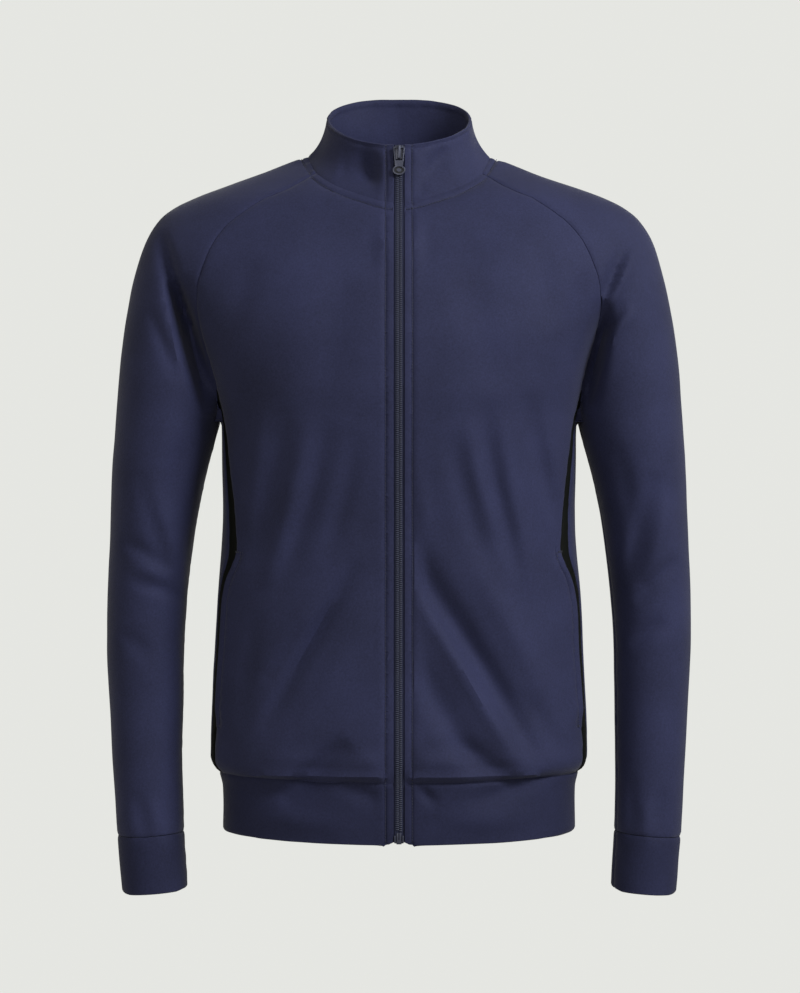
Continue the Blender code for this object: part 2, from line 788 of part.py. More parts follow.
def arm_surface(x, z, face):
    """Points of the sleeve alone, below the underarm."""
    outer, inner = SLEEVE_AT["outer"](z), SLEEVE_AT["inner"](z)
    across = (x - (outer + inner) / 2) / ((outer - inner) / 2)
    half_depth = SLEEVE_AT[face](z) * rounded(across, ARM_SQUARE)
    return np.stack([x, SLEEVE_AT["line"](z) + FACE_SIGN[face] * half_depth, z], -1)


def sleeve(side):
    cap = cap_rows()
    columns = len(cap[0])
    ring_columns = columns - 1
    cap_points = np.concatenate(cap)
    cap_triangles = grid_triangles(cap_points, columns)
    seam_end = (CAP_ROWS - 1) * columns
    merged = seam_end + columns - 1
    cap_triangles[cap_triangles == merged] = seam_end
    heights = np.linspace(RING_TOP, CUFF_SEAM_Z, SLEEVE_ROWS)[1:]
    rings = np.concatenate([sleeve_ring(z) for z in heights])
    points = np.concatenate([cap_points[:merged], rings])
    tube = grid_triangles(points[seam_end:], ring_columns, closed=True) + seam_end
    points = points * [side, 1, 1]
    triangles = np.concatenate([cap_triangles, tube])
    if side > 0:
        triangles = triangles[:, ::-1]
    return wall(creased(points), triangles, WALL)


def cuff(side):
    heights = np.linspace(CUFF_SEAM_Z, CUFF_Z, 4)
    rings = [sleeve_ring(z) for z in heights]
    points = np.concatenate(rings) * [side, 1, 1]
    triangles = grid_triangles(points, len(rings[0]), closed=True)
    if side > 0:
        triangles = triangles[:, ::-1]
    return wall(points, triangles, DOUBLE_WALL)


def hem_band():
    rings = []
    for drop in BAND_ROWS:
        half = band_ring(drop)
        rings.append(np.concatenate([half, half[-2::-1] * [-1, 1, 1]]))
    points = creased(np.concatenate(rings))
    triangles = grid_triangles(points, len(rings[0]))[:, ::-1]
    return wall(points, triangles, DOUBLE_WALL)


def collar_base():
    """Half of the neckline, from the zip over the shoulder to the middle back."""
    parts = [
        neckline("front", ZIP_EDGE, RAGLAN_AT_NECK["front"], 6)[:-1],
        neckline("front", RAGLAN_AT_NECK["front"], NECK_FRONT[-1][0], CAP_COLUMNS)[:-1:2],
        neckline("back", NECK_BACK[-1][0], RAGLAN_AT_NECK["back"], CAP_COLUMNS)[:-1:2],
        neckline("back", RAGLAN_AT_NECK["back"], 0, 5),
    ]
    return np.concatenate(parts)


def collar_top(count, start_x):
    """Half of the collar's upper edge, from the zip to the middle back."""
    top = COLLAR_TOP
    turn = np.linspace(math.asin(start_x / top["half"]), math.pi, 300)
    reach = np.where(
        turn < math.pi / 2, top["widest"] - top["front"], top["back"] - top["widest"]
    )
    y = top["widest"] - reach * np.cos(turn)
    z = top["front_z"] + top["rise"] * (y - top["front"])
    return spread(np.stack([top["half"] * np.sin(turn), y, z], 1), count)


def collar_rows():
    """Half rows of the collar from its seam to its top, each from the zip to the back."""
    base = collar_base()
    top = collar_top(len(base), ZIP_EDGE)
    rows = []
    for share in np.linspace(0, 1, COLLAR_ROWS + 1):
        waist = COLLAR_WAIST * 4 * share * (1 - share) * (1 - 0.45 * share)
        row = base + (top - base) * share
        towards = unit(row * [1, 1, 0]) * np.minimum(1, np.abs(row[:, :1]) / 60 + 0.25)
        rows.append(row - towards * waist)
    return rows


def collar():
    rows = [np.concatenate([row, row[-2::-1] * [-1, 1, 1]]) for row in collar_rows()]
    points = np.concatenate(rows)
    return wall(points, grid_triangles(points, len(rows[0])), DOUBLE_WALL)


# ---------------------------------------------------------------- zip


def zip_rows(x):
    """Points of the outer cloth at one distance from the middle, from collar to hem.

    Between the front edges the points carry straight on across.
    """
    edge = max(x, ZIP_EDGE)
    collar_part = [across_row(row, edge) for row in collar_rows()[::-1]]
    middle_part = [on_surface(edge, z, "front") for z in ZIP_HEIGHTS]
    band_part = [across_row(band_ring(drop), edge) for drop in BAND_ROWS]
    found = np.array(collar_part + middle_part + band_part)
    found[:, 0] = x
    return found


def across_row(row, x):
    """The point of a row of the front at one distance from the middle."""
    near = row[: int(np.argmax(row[:, 0]))]
    return [np.interp(x, near[:, 0], near[:, i]) for i in range(3)]


def zip_tape(side):
    """One tape, lying behind the edge of its front."""
    columns = [zip_rows(x) for x in np.linspace(TAPE_EDGE, TAPE_BACK, 3)]
    points = np.stack(columns, 1).reshape(-1, 3) * [side, 1, 1]
    triangles = turned_out(points, grid_triangles(points, 3), "front")
    doubled = (points[:, 2] > TAPE_COLLAR_END) | (points[:, 2] < TAPE_BAND_START)
    sink = TAPE_GAP + np.where(doubled, DOUBLE_WALL, WALL)
    return wall(points, triangles, TAPE_THICK, -sink[:, None])


def sunk_line(sink, heights):
    """Depth of the zip's middle line, sunk behind the outer cloth, at each height."""
    line = zip_rows(0.0)[:, 1:]
    run = unit(np.gradient(line, axis=0))
    sunk = line + sink * np.stack([-run[:, 1], run[:, 0]], 1)
    return np.interp(-heights, -sunk[:, 1], sunk[:, 0])


def zip_chain(material, collection):
    """The closed coil: its side profile, drawn as a curve and extruded across."""
    heights = np.linspace(CHAIN_TOP, CHAIN_END, 44)
    front = np.stack([sunk_line(CHAIN_SINK, heights), heights], 1)
    behind = np.stack([sunk_line(CHAIN_SINK + CHAIN_THICK, heights), heights], 1)
    outline = np.concatenate([front, behind[::-1]]) * METRE
    curve = bpy.data.curves.new("zip_chain", "CURVE")
    curve.dimensions = "2D"
    curve.fill_mode = "BOTH"
    curve.extrude = CHAIN_HALF * METRE
    spline = curve.splines.new("POLY")
    spline.points.add(len(outline) - 1)
    for point, (y, z) in zip(spline.points, outline):
        point.co = (y, z, 0, 1)
    spline.use_cyclic_u = True
    curve.materials.append(material)
    made = bpy.data.objects.new("zip_chain", curve)
    made.matrix_world = Matrix(((0, 0, 1, 0), (1, 0, 0, 0), (0, 1, 0, 0), (0, 0, 0, 1)))
    collection.objects.link(made)
    return made


def slider_frame():
    """Place and lean of the slider: its top on the collar's edge, its length down the zip."""
    top = collar_rows()[-1][0]
    rows = zip_rows(ZIP_EDGE)
    low = [np.interp(-PULL_REST_Z, -rows[:, 2], rows[:, i]) for i in range(3)]
    lean = math.atan2(low[1] - top[1], top[2] - low[2])
    place = Matrix.Translation(Vector((0, top[1], top[2])) * METRE)
    return place @ Matrix.Rotation(lean, 4, "X")


def shaped(name, mesh_maker, frame, material, collection):
    shape = bmesh.new()
    mesh_maker(shape)
    mesh = bpy.data.meshes.new(name)
    shape.to_mesh(mesh)
    shape.free()
    if material:
        mesh.materials.append(material)
    made = bpy.data.objects.new(name, mesh)
    made.matrix_world = frame
    collection.objects.link(made)
    return made


def block(x, out, down, local):
    """Maker of a box between two values of x, of distance outwards and of distance down."""
    low = Vector((x[0], -out[1], -down[1])) * METRE - local
    high = Vector((x[1], -out[0], -down[0])) * METRE - local
    place = Matrix.Translation((low + high) / 2) @ Matrix.Diagonal((*(high - low), 1))
    return lambda shape: bmesh.ops.create_cube(shape, size=1, matrix=place)


def oval(half_width, half_height, out, down, local):
    """Maker of an oval disc between two distances outwards, centred a distance down."""
    centre = Vector((0, -(out[0] + out[1]) / 2, -down)) * METRE - local
    size = Vector((half_width, half_height, out[1] - out[0])) * METRE
    turn = Matrix.Rotation(math.pi / 2, 4, "X")
    place = Matrix.Translation(centre) @ turn @ Matrix.Diagonal((*size, 1))
    return lambda shape: bmesh.ops.create_cone(
        shape, cap_ends=True, segments=32, radius1=1, radius2=1, depth=1, matrix=place
    )


def soften(thing, width):
    bevel = thing.modifiers.new("rounded_edges", "BEVEL")
    bevel.width = width * METRE
    bevel.segments = 2
    bevel.limit_method = "ANGLE"


def combine(thing, other, operation):
    boolean = thing.modifiers.new(other.name, "BOOLEAN")
    boolean.operation = operation
    boolean.solver = "EXACT"
    boolean.object = other
    other.hide_render = True
    other.display_type = "WIRE"


def slider(material, collection, helpers):
    frame = slider_frame()
    origin = Vector((0, 0, 0))
    plate = shaped(
        "zip_slider",
        block((-PLATE_HALF, PLATE_HALF), PLATE_OUT, PLATE_DOWN, origin),
        frame, material, collection,
    )
    soften(plate, 0.6)
    bridge_out = (PLATE_OUT[1] - 0.4, PLATE_OUT[1] + BRIDGE_CLEAR + BRIDGE_THICK)
    bridge = shaped(
        "bridge_block", block((-BRIDGE_HALF, BRIDGE_HALF), bridge_out, BRIDGE_DOWN, origin),
        frame, None, helpers,
    )
    soften(bridge, 0.7)
    combine(plate, bridge, "UNION")
    hole_out = (PLATE_OUT[1] - 0.1, PLATE_OUT[1] + BRIDGE_CLEAR)
    hole_down = (BRIDGE_DOWN[0] + BRIDGE_FOOT_TOP, BRIDGE_DOWN[1] - BRIDGE_FOOT_LOW)
    hole = shaped(
        "bridge_hole", block((-BRIDGE_HALF - 0.4, BRIDGE_HALF + 0.4), hole_out, hole_down, origin),
        frame, None, helpers,
    )
    combine(plate, hole, "DIFFERENCE")
    return plate


def pull_tab(material, collection, helpers):
    """The pull, its own origin on the axis of the bar that hangs in the slider's bridge."""
    local = Vector((0, -HINGE_OUT, -HINGE_DOWN)) * METRE
    frame = slider_frame() @ Matrix.Translation(local)
    out = (HINGE_OUT - PULL_THICK / 2, HINGE_OUT + PULL_THICK / 2)
    head_down = (HINGE_DOWN - PULL_THICK / 2, PULL_END_DOWN)
    head = shaped(
        "zip_pull", block((-PULL_HALF, PULL_HALF), out, head_down, local),
        frame, material, collection,
    )
    soften(head, 0.35)
    end = shaped(
        "pull_end", oval(PULL_END_HALF, PULL_END_TALL, (out[0] + 0.02, out[1] - 0.02), PULL_END_DOWN, local),
        frame, None, helpers,
    )
    soften(end, 0.35)
    combine(head, end, "UNION")
    window_down = (HINGE_DOWN + PULL_THICK / 2, PULL_WINDOW_END)
    through = (out[0] - 1, out[1] + 1)
    window = shaped(
        "pull_window", block((-PULL_WINDOW_HALF, PULL_WINDOW_HALF), through, window_down, local),
        frame, None, helpers,
    )
    combine(head, window, "DIFFERENCE")
    recess = shaped(
        "pull_recess",
        oval(PULL_END_HALF * 0.73, PULL_END_TALL * 0.7, (out[1] - 0.5, out[1] + 1), PULL_END_DOWN, local),
        frame, None, helpers,
    )
    combine(head, recess, "DIFFERENCE")
    return head


def zip_ends(metal, collection):
    """The two stops at the top of the coil and the box at its foot."""
    frame = slider_frame()
    origin = Vector((0, 0, 0))
    for side, word in ((1, "left"), (-1, "right")):
        x = sorted((side * STOP_X[0], side * STOP_X[1]))
        stop = shaped(
            f"zip_stop_{word}", block(x, STOP_OUT, STOP_DOWN, origin), frame, metal, collection
        )
        soften(stop, 0.35)
    foot = float(sunk_line(0, np.array([(BOX_TOP + BOX_END) / 2]))[0])
    place = Matrix.Translation(Vector((0, foot, 0)) * METRE)
    box = shaped(
        "zip_box", block((-BOX_HALF, BOX_HALF), BOX_OUT, (-BOX_TOP, -BOX_END), origin),
        place, metal, collection,
    )
    soften(box, 0.8)


# ---------------------------------------------------------------- the jacket


def main():
    clear_scene()
    jacket = bpy.data.collections.new("track_jacket")
    bpy.context.scene.collection.children.link(jacket)
    helpers = bpy.data.collections.new("cutters")
    helpers.hide_render = True
    bpy.context.scene.collection.children.link(helpers)
    navy = finish("navy_knit", (0.033, 0.035, 0.068), 0.8)
    rib = finish("navy_band", (0.026, 0.028, 0.054), 0.8)
    black = finish("black_knit", (0.008, 0.009, 0.009), 0.8)
    tape_cloth = finish("zip_tape", (0.018, 0.02, 0.04), 0.75)
    coil = finish("zip_coil", (0.04, 0.043, 0.07), 0.45)
    metal = finish("painted_metal", (0.09, 0.095, 0.13), 0.35, 0.4)
    for side, word in ((1, "left"), (-1, "right")):
        add_mesh(f"front_{word}", *front_panel(side), navy, jacket)
        add_mesh(f"side_panel_{word}", *side_panel(side), black, jacket)
        add_mesh(f"sleeve_{word}", *sleeve(side), navy, jacket)
        add_mesh(f"cuff_{word}", *cuff(side), rib, jacket)
        add_mesh(f"zip_tape_{word}", *zip_tape(side), tape_cloth, jacket)
    add_mesh("back", *back_panel(), navy, jacket)
    add_mesh("hem_band", *hem_band(), rib, jacket)
    add_mesh("collar", *collar(), navy, jacket)
    zip_chain(coil, jacket)
    slider(metal, jacket, helpers)
    pull_tab(metal, jacket, helpers)
    zip_ends(metal, jacket)


main()
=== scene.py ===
"""Looks of the track jacket: its cloth with seams, creases and sewing, its zip, and the stage.

Lengths are millimetres, as the sewing room measures them, and become metres where a mesh is
made. The front faces -Y, up is +Z and +X is the wearer's left, as in the frame.
"""

import functools
import math

import bpy
import numpy as np
from bpy.props import FloatProperty, FloatVectorProperty, PointerProperty
from mathutils import Matrix, Vector, noise
from mathutils.bvhtree import BVHTree
from mathutils.geometry import delaunay_2d_cdt


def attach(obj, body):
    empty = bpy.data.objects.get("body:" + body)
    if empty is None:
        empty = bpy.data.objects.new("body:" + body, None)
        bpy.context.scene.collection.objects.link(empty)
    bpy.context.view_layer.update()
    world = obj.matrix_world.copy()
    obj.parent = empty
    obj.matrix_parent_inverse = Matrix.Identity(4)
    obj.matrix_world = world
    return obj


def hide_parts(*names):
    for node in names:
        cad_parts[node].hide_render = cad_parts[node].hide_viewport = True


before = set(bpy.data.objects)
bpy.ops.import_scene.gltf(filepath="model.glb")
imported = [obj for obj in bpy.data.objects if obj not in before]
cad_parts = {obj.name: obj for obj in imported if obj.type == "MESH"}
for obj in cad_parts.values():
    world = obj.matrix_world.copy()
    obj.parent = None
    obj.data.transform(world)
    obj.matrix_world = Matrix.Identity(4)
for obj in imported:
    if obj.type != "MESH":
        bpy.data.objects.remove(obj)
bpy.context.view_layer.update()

bl_info = {
    "name": "Track jacket",
    "version": (1, 0, 0),
    "blender": (4, 5, 0),
    "location": "3D View > Sidebar > Track jacket",
    "description": "Cloth, zip and stage of a raglan track jacket",
    "category": "Object",
}

METRE = 0.001
BODY_NAME = "jacket"

# ---------------------------------------------------------------- driving dimensions

WALL = 1.7              # single cloth
DOUBLE_WALL = 2.7       # folded cloth of collar, hem band and cuffs
RIM_BACK = 0.35         # how far an edge's faces stand back from its round middle
RIM_LAP = 0.32          # how far the round middle passes the seam
EDGE_ANGLE = math.radians(40)   # past this the cloth is shaded as an edge

UNDERARM_Z = -264.0
HEM_SEAM_Z, HEM_Z = -613.5, -671.8
HEM_DIP = 4.0           # how much lower the band hangs at the zip than at the sides
CUFF_SEAM_Z, CUFF_Z = -674.5, -731.0
ZIP_EDGE = 5.4          # distance of each front's edge from the middle

# Cross sections: 2 is an ellipse, and more is squarer.
BODY_SQUARE, ARM_SQUARE, YOKE_SQUARE = 2.4, 2.05, 2.0
JOIN_SHARPNESS = 6.0                    # how tight the fold is where sleeve and body meet
YOKE_TOP, YOKE_BOTTOM = -40.0, -140.0   # the yoke parts into body and sleeves between these
SIDE_LINE_FADE = 4.0                    # the sleeve's line takes over this far past the body
SLOPE_REACH = 15.0                      # the arm's slope is taken this far up and down

# Body sections: half width at the side seam, depth of front and back from the side line.
BODY_COLUMNS = ("z", "side", "front", "back")
BODY = (
    (10, 86, 0, 66),
    (0, 91, 5, 71),
    (-10, 112, 24, 76),
    (-20, 138, 40, 81),
    (-34, 172, 58, 88),
    (-45, 192, 70, 92),
    (-54, 206, 77, 96),
    (-80, 226, 92, 104),
    (-110, 230, 106, 112),
    (-146, 222, 118, 118),
    (-190, 204, 127, 121),
    (-235, 186, 128, 120),
    (-264, 177.5, 126, 117),
    (-284, 176.5, 124, 114),
    (-344, 175.5, 118, 104),
    (-384, 177, 114, 99),
    (-444, 181.5, 112, 99),
    (-484, 183.5, 112, 103),
    (-544, 186.5, 114, 111),
    (-583, 188, 116, 115),
    (-597, 188, 116, 116),
    (-606, 185.5, 115, 114),
    (-611, 182, 113.5, 112),
    (-614, 179.5, 112, 110),
    (-620, 177.3, 111.5, 109),
    (-628, 175.8, 111.2, 108.5),
    (-645, 175.5, 111, 108),
    (-680, 176, 110, 108),
)

# Sleeve sections: distance of the outer and inner edge from the middle of the jacket, the
# place of the arm's line in front of (-) or behind (+) the side line, and half depths.
SLEEVE_COLUMNS = ("z", "outer", "inner", "line", "front", "back")
SLEEVE = (
    (10, 86, 30, 0, 30, 40),
    (0, 91, 45, 0, 40, 50),
    (-5, 106, 50, 0, 42, 52),
    (-17, 135, 60, 0, 45, 55),
    (-29.5, 170, 70, 0, 48, 58),
    (-41.5, 202, 80, 0, 50, 60),
    (-52, 224, 92, 0, 53, 62),
    (-63.5, 239, 104, 0, 56, 64),
    (-83.5, 252, 120, 0, 60, 67),
    (-103.5, 259, 132, 0, 63, 69),
    (-143.5, 269, 149, 0, 66, 70),
    (-203.5, 278, 165, 0, 66, 69),
    (-263.5, 283, 178.5, 0, 64, 67),
    (-283.5, 284.5, 183, 0, 63, 66),
    (-303.5, 286, 188.5, 1, 62, 64),
    (-343.5, 287.5, 198.5, 2, 59, 60),
    (-383.5, 289.5, 205.5, 3, 55, 56),
    (-443.5, 291.5, 212, 3, 50, 51),
    (-483.5, 292, 214.5, 1, 47, 47),
    (-543.5, 289, 215.5, -3, 43, 43),
    (-603.5, 285, 216, -8, 40, 40),
    (-663.5, 281, 214.5, -13, 38, 38),
    (-680, 279.5, 213.5, -15, 37, 37),
    (-723.5, 276, 210.5, -19, 35, 35),
    (-745, 274, 209, -21, 35, 35),
)

# Neckline as x and z, from the middle to the point where neck meets shoulder.
NECK_FRONT = ((0, -54), (14, -52), (38, -44.5), (62, -34), (82, -19), (91, -0.5))
NECK_BACK = ((0, 8), (30, 7.8), (58, 6.3), (80, 3.2), (91, -0.5))
RAGLAN_AT_NECK = {"front": 82, "back": 58}

# Armhole seams as x and z, from neckline to underarm. The first knots are the raglan line.
ARMHOLE = {
    "front": (
        (82, -19),
        (111, -37),
        (132, -46.5),
        (150, -59),
        (168.5, -74),
        (181, -91),
        (189.5, -110),
        (197.5, -137),
        (198.5, -155),
        (196, -175),
        (188.5, -204),
        (181, -235),
        (180.1, -247),
        (179.3, -256),
        (178.5, -264),
    ),
    "back": (
        (58, 6.3),
        (84, -14),
        (110, -34),
        (136, -56),
        (158, -80),
        (175, -107),
        (186, -138),
        (190, -165),
        (188, -195),
        (183, -228),
        (181.2, -244),
        (179.8, -255),
        (178.5, -264),
    ),
}
RAGLAN_END = {"front": 11, "back": 9}   # knot where the raglan line turns under the arm
PANEL_TIP_END = 12                      # knot where the side panel's tip ends

# Side panel: distance of its front seam from the middle, its width along the cloth, and how
# far the front's loose edge stands off it along the pocket mouth.
SIDE_COLUMNS = ("z", "seam", "width", "stand_off")
SIDE_PANEL = (
    (-613.5, 175, 20, 0),
    (-602, 182, 20, 0),
    (-586, 182, 20, 0),
    (-566, 180, 20, 0),
    (-548, 179, 20, 2.6),
    (-528, 177.8, 20, 2.6),
    (-508, 176.5, 20, 2.6),
    (-488, 175.3, 20, 2.6),
    (-468, 174.3, 20, 2.6),
    (-450, 173.2, 20, 2.6),
    (-434, 171, 20, 2.6),
    (-420, 167.5, 19, 2.6),
    (-407, 162.5, 17.5, 2.0),
    (-394, 159.8, 16, 0),
    (-373, 160.6, 14.5, 0),
    (-352, 162, 13.2, 0),
    (-330, 164.2, 12, 0),
    (-306, 167.2, 11.2, 0),
    (-284, 170, 10.5, 0),
    (-264, 173.5, 9, 0),
    (-247, 177.8, 7.75, 0),
)
POCKET_EASE = 30.0      # the cloth comes back to the body over this width
POCKET_TOP, POCKET_LOW = -394.0, -566.0
POCKET_STITCH = 8.0     # the topstitching runs this far in from the loose edge

# Upper edge of the collar: half width, y of its front, back and widest place, height of its
# front, rise towards the back, and how round the back half is.
COLLAR_TOP = {
    "half": 72.5, "front": -66, "back": 60, "widest": 8,
    "front_z": 4, "rise": 0.476, "squareness": 0.86,
}
# The collar is drawn in by its waist, less towards the top and less beside its middle lines.
COLLAR_WAIST, WAIST_LOSS = 6.0, 0.45
WAIST_AT_MIDDLE, WAIST_REACH = 0.25, 60.0
# How far the lower edge of the collar and the upper edge of the band reach into their seams,
# and the depth and width by which they roll in there.
COLLAR_TUCK, COLLAR_TUCK_SEAM = 1.7, (0.8, 1.4)
HEM_TUCK, HEM_TUCK_SEAM = 1.6, (2.4, 2.4)
HEM_CORNER = {"rise": 2.4, "run": 4.5, "from": 0.9}   # the band's lower corners at the zip

# Point counts of the fine cloth, and distances from an edge where points lie closer.
LATTICE, LATTICE_RISE = 5.0, 0.87       # distance between points, and rows as a share of it
EDGE_GAP, LATTICE_GAP = 0.9, 0.5        # free shares next to inset rows and to the lattice
STITCH_GAP, POINT_GAP = 1.2, 1.1        # least distances from the outline and from a point
MERGE_WITHIN = 1e-6                     # points closer than this would be one
INSET_ROWS = (1.6, 4.0)
ZIP_MARKS = (0, 1.6, 4, 6, 7.6, 9.2, 11.6)
NECK_MARKS = (0, 1.6, 4, 5.5, 7, 8.5, 10.8)
EDGE_MARKS = (0, *INSET_ROWS)
ZIP_STITCH, NECK_STITCH = ZIP_MARKS[4], NECK_MARKS[4]   # topstitching beside zip and neck seam
# Steps in which smooth lines are walked, before the cloth's own points are spread on them.
TAPE_STEPS, NECK_STEPS, ARMHOLE_STEPS, RING_STEPS, LINE_STEPS = 160, 200, 400, 200, 300
SETTLING_ROUNDS = 20            # enough to find the ring at the underarm
RAGLAN_POINTS, TIP_POINTS, UNDER_POINTS = 66, 4, 8
NECK_POINTS = {"front": 25, "back": 16}
STITCH_LINE_POINTS = {"zip": 80, "pocket": 60, "back neck": 30}
ZIP_EDGE_POINTS = 130
SIDE_POINTS = 92
HEM_FRONT, HEM_SIDE, HEM_BACK = 44, 4, 46
CAP_COLUMNS, SLEEVE_ROWS, CUFF_ROWS = 29, 104, 15
FULL_MARKS_FROM = 40.0          # half rows shorter than this have their edge marks closer
BAND_SHARES = (0, 0.03, 0.075, *np.linspace(0.14, 0.94, 12), 0.97, 0.988, 1)
EDGE_ROUND = 4.5                # radius of the lower corners of band and cuffs, at their sides
EDGE_ROWS = (3.5, 1.75, 0.7)
CURL_FROM = 0.75                # they curl in from this share of the half width outwards
COLLAR_SHARES = (0, 0.03, 0.075, *np.linspace(0.13, 0.9, 14), 0.93, 0.965, 1)

# Depth and width by which the cloth sinks at its seams and topstitching.
SEAM, HEM_SEAM, COLLAR_SEAM = (1.1, 1.6), (1.6, 1.8), (0.4, 1.8)
TOPSTITCH, POCKET_TOPSTITCH = (1.3, 1.1), (1.8, 1.4)
NECK_TOPSTITCH, COLLAR_EDGE_STITCH = (1.5, 1.4), (1.3, 1.3)
PUCKER, PUCKER_SIZE, PUCKER_REACH = 0.55, 7.0, 8.0      # its fine puckers beside them
HEM_BLOUSE = (4.0, 7.0, 4.5)            # the body bags out over the band: height, place, width
BLOUSE_END, BLOUSE_FADE = 172.0, 40.0   # it fades out towards the side seams
CREASE_FADE = 26.0                      # creases fade out this close to the side line
ZIP_STIFF_TO, ZIP_STIFFNESS = 13.0, 16.0    # and the zip holds them flat, to here and beyond

# Creases: soft ridges (+) and troughs (-) from one point to another. Bow is how far the
# middle swings sideways; lean makes one flank steeper than the other. Both are 0 unless given.
CREASE_COLUMNS = ("x1", "z1", "x2", "z2", "width", "height", "bow", "lean")
CREASES = {
    "front": (
        # across the belly, below where the fronts part
        (-3, -378, 139, -609, 13, -19, 0, 0.25),
        (13, -411, 128, -611, 13, 10),
        (68, -401, 151, -547, 13, 4.5, 2),
        (3, -478, 90, -623, 14, -8, -2, 0.2),
        (45, -571, 122, -623, 10, -6.5),
        (14, -314, 24, -390, 8, 3.0, 2),
        (116, -526, 161, -596, 10, -3.5, 2),
        (-39, -401, -136, -569, 8, -8, -1, 0.2),
        (-20, -430, -99, -574, 12, 2.5),
        (-90, -459, -132, -524, 8, -3, 0, 0.2),
        (-68, -420, -132, -509, 10, 2.0, -2),
        (-47, -576, -115, -638, 14, -12, -2, 0.2),
        (-76, -542, -132, -596, 9, 2.0),
        (-138, -449, -155, -572, 9, -3.0, -2),
        # down the chest
        (80, -243, 118, -420, 11, -5.5, -5, 0.2),
        (97, -257, 136, -440, 10, 4.5, -4),
        (122, -236, 157, -372, 10, -5.5, -4, 0.2),
        (143, -247, 167, -382, 8, 3.5, -2),
        (51, -276, 88, -411, 10, -3.8, -4),
        (66, -266, 97, -382, 8, 3.0, -3),
        (-66, -266, -122, -440, 11, -4.5, 5, 0.2),
        (-88, -264, -132, -430, 10, 4.5, 4),
        (-109, -252, -145, -407, 10, -4.0, 4, 0.2),
        (-132, -247, -153, -382, 8, 3.0, 2),
        (-41, -276, -74, -407, 10, -3.8, 4),
        (-55, -103, -78, -266, 20, -3.2, 4),
        (-99, -89, 101, -89, 22, -4.5, -10),
        (61, -93, 97, -243, 20, -2.4, -4),
        (136, -88, 151, -180, 14, -2.2, -2),
        (-143, -103, -161, -189, 14, -2.4, 2),
        # along the hem seam and on the band
        (-165, -596, 167, -596, 9, 3.2),
        (64, -636, 165, -607, 8, -6),
        (36, -653, 143, -649, 10, 2.6, -2),
        (7, -615, 38, -638, 6, -5, 1),
        (-155, -624, -99, -636, 9, -3.2, 2),
        (-57, -619, -7, -638, 8, -4, 1),
        (-147, -653, -47, -659, 10, 2.4, 2),
        # on the collar
        (-38, 5, -20, -36, 8, -4.5, 0, 0.2),
        (-52, -1, -40, -34, 8, 2.5),
        (46, 7, 24, -32, 8, -4.5, 0, 0.2),
        (62, 3, 50, -27, 7, 2.0),
        (24, -27, 15, -50, 5, -4),
        (-60, -15, -7, -27, 15, -10),
        # drag at the armpits
        (-236, -75, -191, -218, 7, -15, 0, -0.3),
        (-246, -153, -215, -230, 6, -3.5),
        (234, -93, 201, -165, 6, 6),
        (224, -89, 193, -163, 7, -7),
        (230, -153, 201, -194, 6, 4.5),
        (222, -149, 195, -191, 6, -4),
        (205, -149, 185, -256, 9, -30, 0, -0.33),
        (182, -118, 164, -222, 10, -3.8, -3),
        (-224, -126, -188, -256, 11, -34, 0, 0.4),
        # on the sleeves, at the elbow and above the cuff
        (-276, -383, -229, -416, 7, -4.2, 3, 0.3),
        (-263, -408, -219, -426, 6, 2.6, 2),
        (-266, -426, -209, -446, 7, -4.4, 4, 0.3),
        (-278, -471, -245, -503, 9, -3.0, 3),
        (-247, -324, -211, -442, 9, 4.0, 4),
        (-257, -314, -229, -432, 8, -3.6, 4, 0.2),
        (-209, -275, -227, -363, 9, -4.0, -3),
        (255, -314, 227, -426, 10, -6.0, -4, 0.3),
        (270, -343, 247, -432, 9, 3.6, -3),
        (276, -399, 233, -446, 8, -5.0, -3, 0.2),
        (265, -461, 227, -489, 8, -3.4, -3),
        (211, -284, 231, -383, 9, -3.6, 3),
        (-259, -629, -249, -680, 7, -2.6),
        (-229, -619, -227, -680, 6, -2.4),
        (-241, -638, -238, -680, 5, 1.8),
        (261, -625, 253, -680, 7, -2.6),
        (231, -615, 227, -680, 6, -2.6),
        (243, -638, 241, -680, 5, 1.8),
    ),
    "back": (
        (-120, -148, -166, -256, 13, -5.4, -6, 0.3),
        (122, -156, 167, -260, 13, -5.9, 6, -0.3),
        (-96, -140, -128, -210, 12, 2.7, -4),
        (-30, -348, -112, -398, 13, -4.9, 6, 0.2),
        (28, -362, 120, -406, 13, -5.4, 7, 0.2),
        (-24, -418, -130, -472, 14, -4.9, 8, -0.2),
        (40, -440, 134, -488, 14, -4.3, 7, 0.2),
        (-60, -384, -130, -436, 10, 3.2, 5),
        (50, -396, 128, -446, 10, 3.2, 5),
        (-88, -520, -40, -600, 12, -4.1, -4),
        (98, -512, 52, -602, 12, -4.6, 4),
        (-128, -560, -100, -608, 8, -3.2, -2),
        (132, -556, 108, -608, 8, -3.0, 2),
        (-20, -230, 26, -330, 20, -2.4, 8),
        (-228, -118, -200, -206, 9, -5.9, 4),
        (230, -126, 202, -208, 9, -5.7, -4),
        (-240, -170, -216, -214, 8, -3.8, 3),
        (242, -176, 214, -216, 8, -4.1, -3),
        (-270, -390, -238, -412, 7, -5.1, 3),
        (-266, -426, -234, -438, 7, -4.6, 3),
        (-260, -456, -232, -474, 7, -3.2, 3),
        (270, -396, 236, -420, 7, -5.1, -3),
        (268, -438, 238, -452, 7, -4.3, -3),
        (262, -470, 236, -484, 7, -3.0, -3),
        (-258, -636, -248, -690, 7, -2.7),
        (258, -632, 250, -690, 7, -2.7),
        (-170, -596, 170, -596, 9, 3.2),
        (-90, -626, -20, -634, 9, -3.6, 2),
        (30, -628, 110, -634, 9, -3.8, 2),
    ),
}
